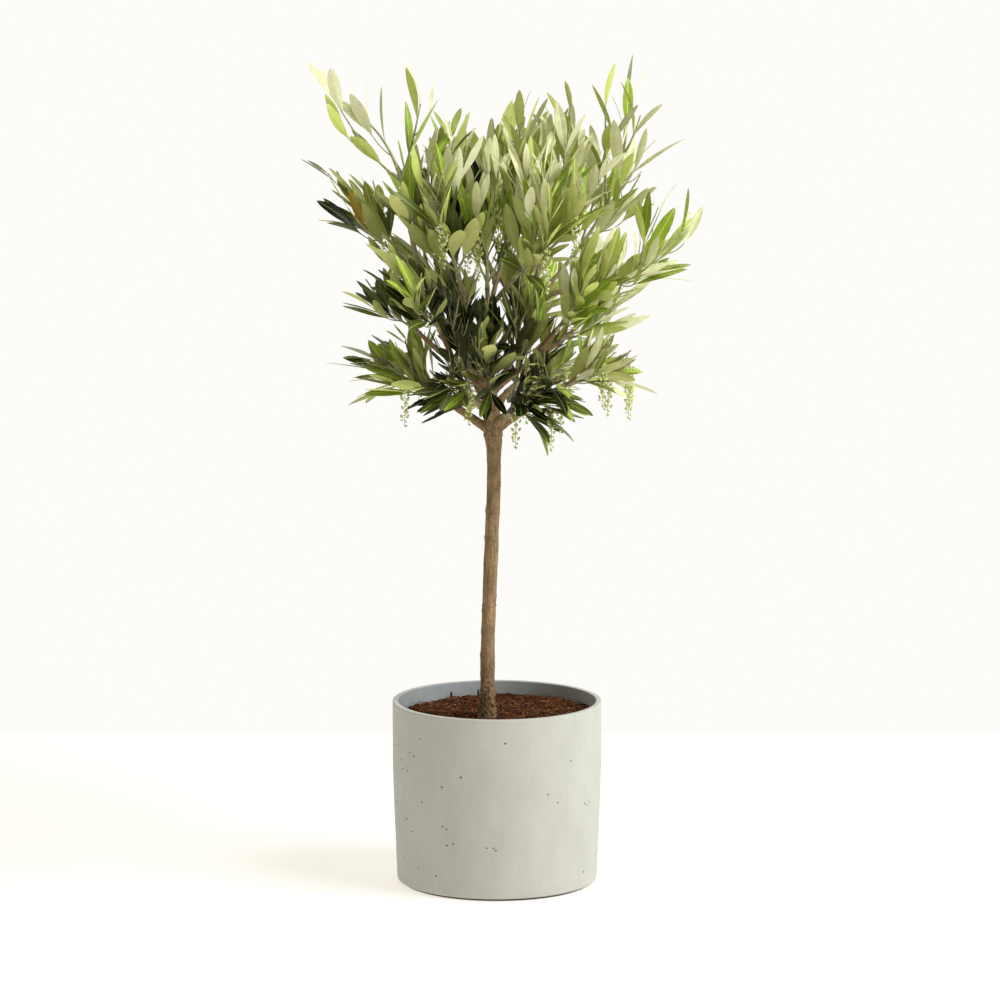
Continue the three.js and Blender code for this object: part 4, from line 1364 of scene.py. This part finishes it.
def build_foliage(crown):
    shoots, panicles, leaves = [], [], []
    for mass in crown.masses:
        for whole, grown in zip((shoots, panicles, leaves), grow_mass(crown, mass)):
            whole.extend(grown)
    names = [f"foliage_{mass.name}" for mass in crown.masses]
    build_twigs(shoots, names)
    build_leaves(leaves, names)
    build_panicles(panicles, names)


# The studio.


def stage_sheet(name, profile, colour, glow_colour, glow):
    """A wide sheet of the studio's paper. The profile gives its line along y and z."""
    material, shader = new_material(name, roughness=0.9, specular=0)
    shader.inputs["Base Color"].default_value = colour
    shader.inputs["Emission Color"].default_value = glow_colour
    shader.inputs["Emission Strength"].default_value = glow
    points = [(x, y, z) for y, z in profile for x in (-STAGE.wide, STAGE.wide)]
    mesh = bpy.data.meshes.new(name)
    quads = grid_quads(len(profile), 2, closed=False)
    mesh.from_pydata((np.array(points) * MM).tolist(), [], quads.tolist())
    mesh.materials.append(material)
    add_object(name, mesh)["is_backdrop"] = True


def build_stage():
    floor = [(-STAGE.near, 0), (STAGE.seam, 0)]
    back = [(STAGE.seam, 0), (STAGE.wall, 0), (STAGE.wall, STAGE.high)]
    stage_sheet("floor_paper", floor, STAGE.colour, STAGE.glow_colour, STAGE.glow)
    stage_sheet("back_paper", back, STAGE.back_colour, STAGE.back_glow_colour, STAGE.back_glow)


def add_area_light(name, place, target, size, power, colour):
    light = bpy.data.lights.new(name, "AREA")
    light.shape, light.size, light.energy, light.color = "DISK", size, power, colour
    lamp = add_object(name, light)
    lamp.location = place
    lamp.rotation_euler = (Vector(target) - Vector(place)).to_track_quat("-Z", "Y").to_euler()


def build_lights():
    world = bpy.data.worlds.new("studio")
    world.use_nodes = True
    background = world.node_tree.nodes["Background"]
    background.inputs["Color"].default_value = LIGHT.sky_colour
    background.inputs["Strength"].default_value = LIGHT.sky
    bpy.context.scene.world = world
    add_area_light("key", LIGHT.key_place, LIGHT.target, LIGHT.key_size, LIGHT.key, LIGHT.key_colour)
    view = bpy.context.scene.view_settings
    view.view_transform, view.look, view.exposure, view.gamma = "Standard", "None", 0, 1


def build_camera():
    camera = bpy.data.cameras.new("camera")
    camera.lens, camera.sensor_width, camera.clip_end = CAMERA.lens, CAMERA.sensor, CAMERA.far
    seen = add_object("camera", camera)
    tilt = math.radians(CAMERA.down)
    forward = Vector((0, math.cos(tilt), -math.sin(tilt)))
    seen.location = (Vector(CAMERA.target) - forward * CAMERA.distance) * MM
    seen.rotation_euler = (math.pi / 2 - tilt, 0, 0)
    bpy.context.scene.camera = seen


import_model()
build_camera()
build_stage()
build_lights()
outside = concrete_material("concrete", (0.545, 0.55, 0.50), (0.488, 0.492, 0.446))
# Painted shade: the tub's inside is a darker, bluer copy of the concrete.
inside = concrete_material("concrete_inside_painted_shade", (0.42, 0.44, 0.46), (0.33, 0.35, 0.37))
# Painted shade: near-black for the air holes and the gap under the foot.
hole_and_foot_shade = plain_material("hole_and_foot_shade", (0.06, 0.055, 0.045), (0.12, 0.11, 0.09), size=1, roughness=0.9)
build_planter(outside, inside, hole_and_foot_shade)
peat = plain_material(
    "peat", (0.016, 0.006, 0.002), (0.065, 0.024, 0.009), size=4, roughness=0.95, specular=0.2,
    depth=0.8,
)
coir = [
    plain_material(f"coir_{kind}", dark, light, size=3, roughness=rough, specular=0.2, depth=0.3)
    for kind, (dark, light, rough) in COIR.items()
]
build_soil(peat, coir)
crown = Crown()
build_wood(crown, bark_material("bark", (1, 1, 7)), bark_material("bough_bark", (1, 1, 2)))
build_foliage(crown)
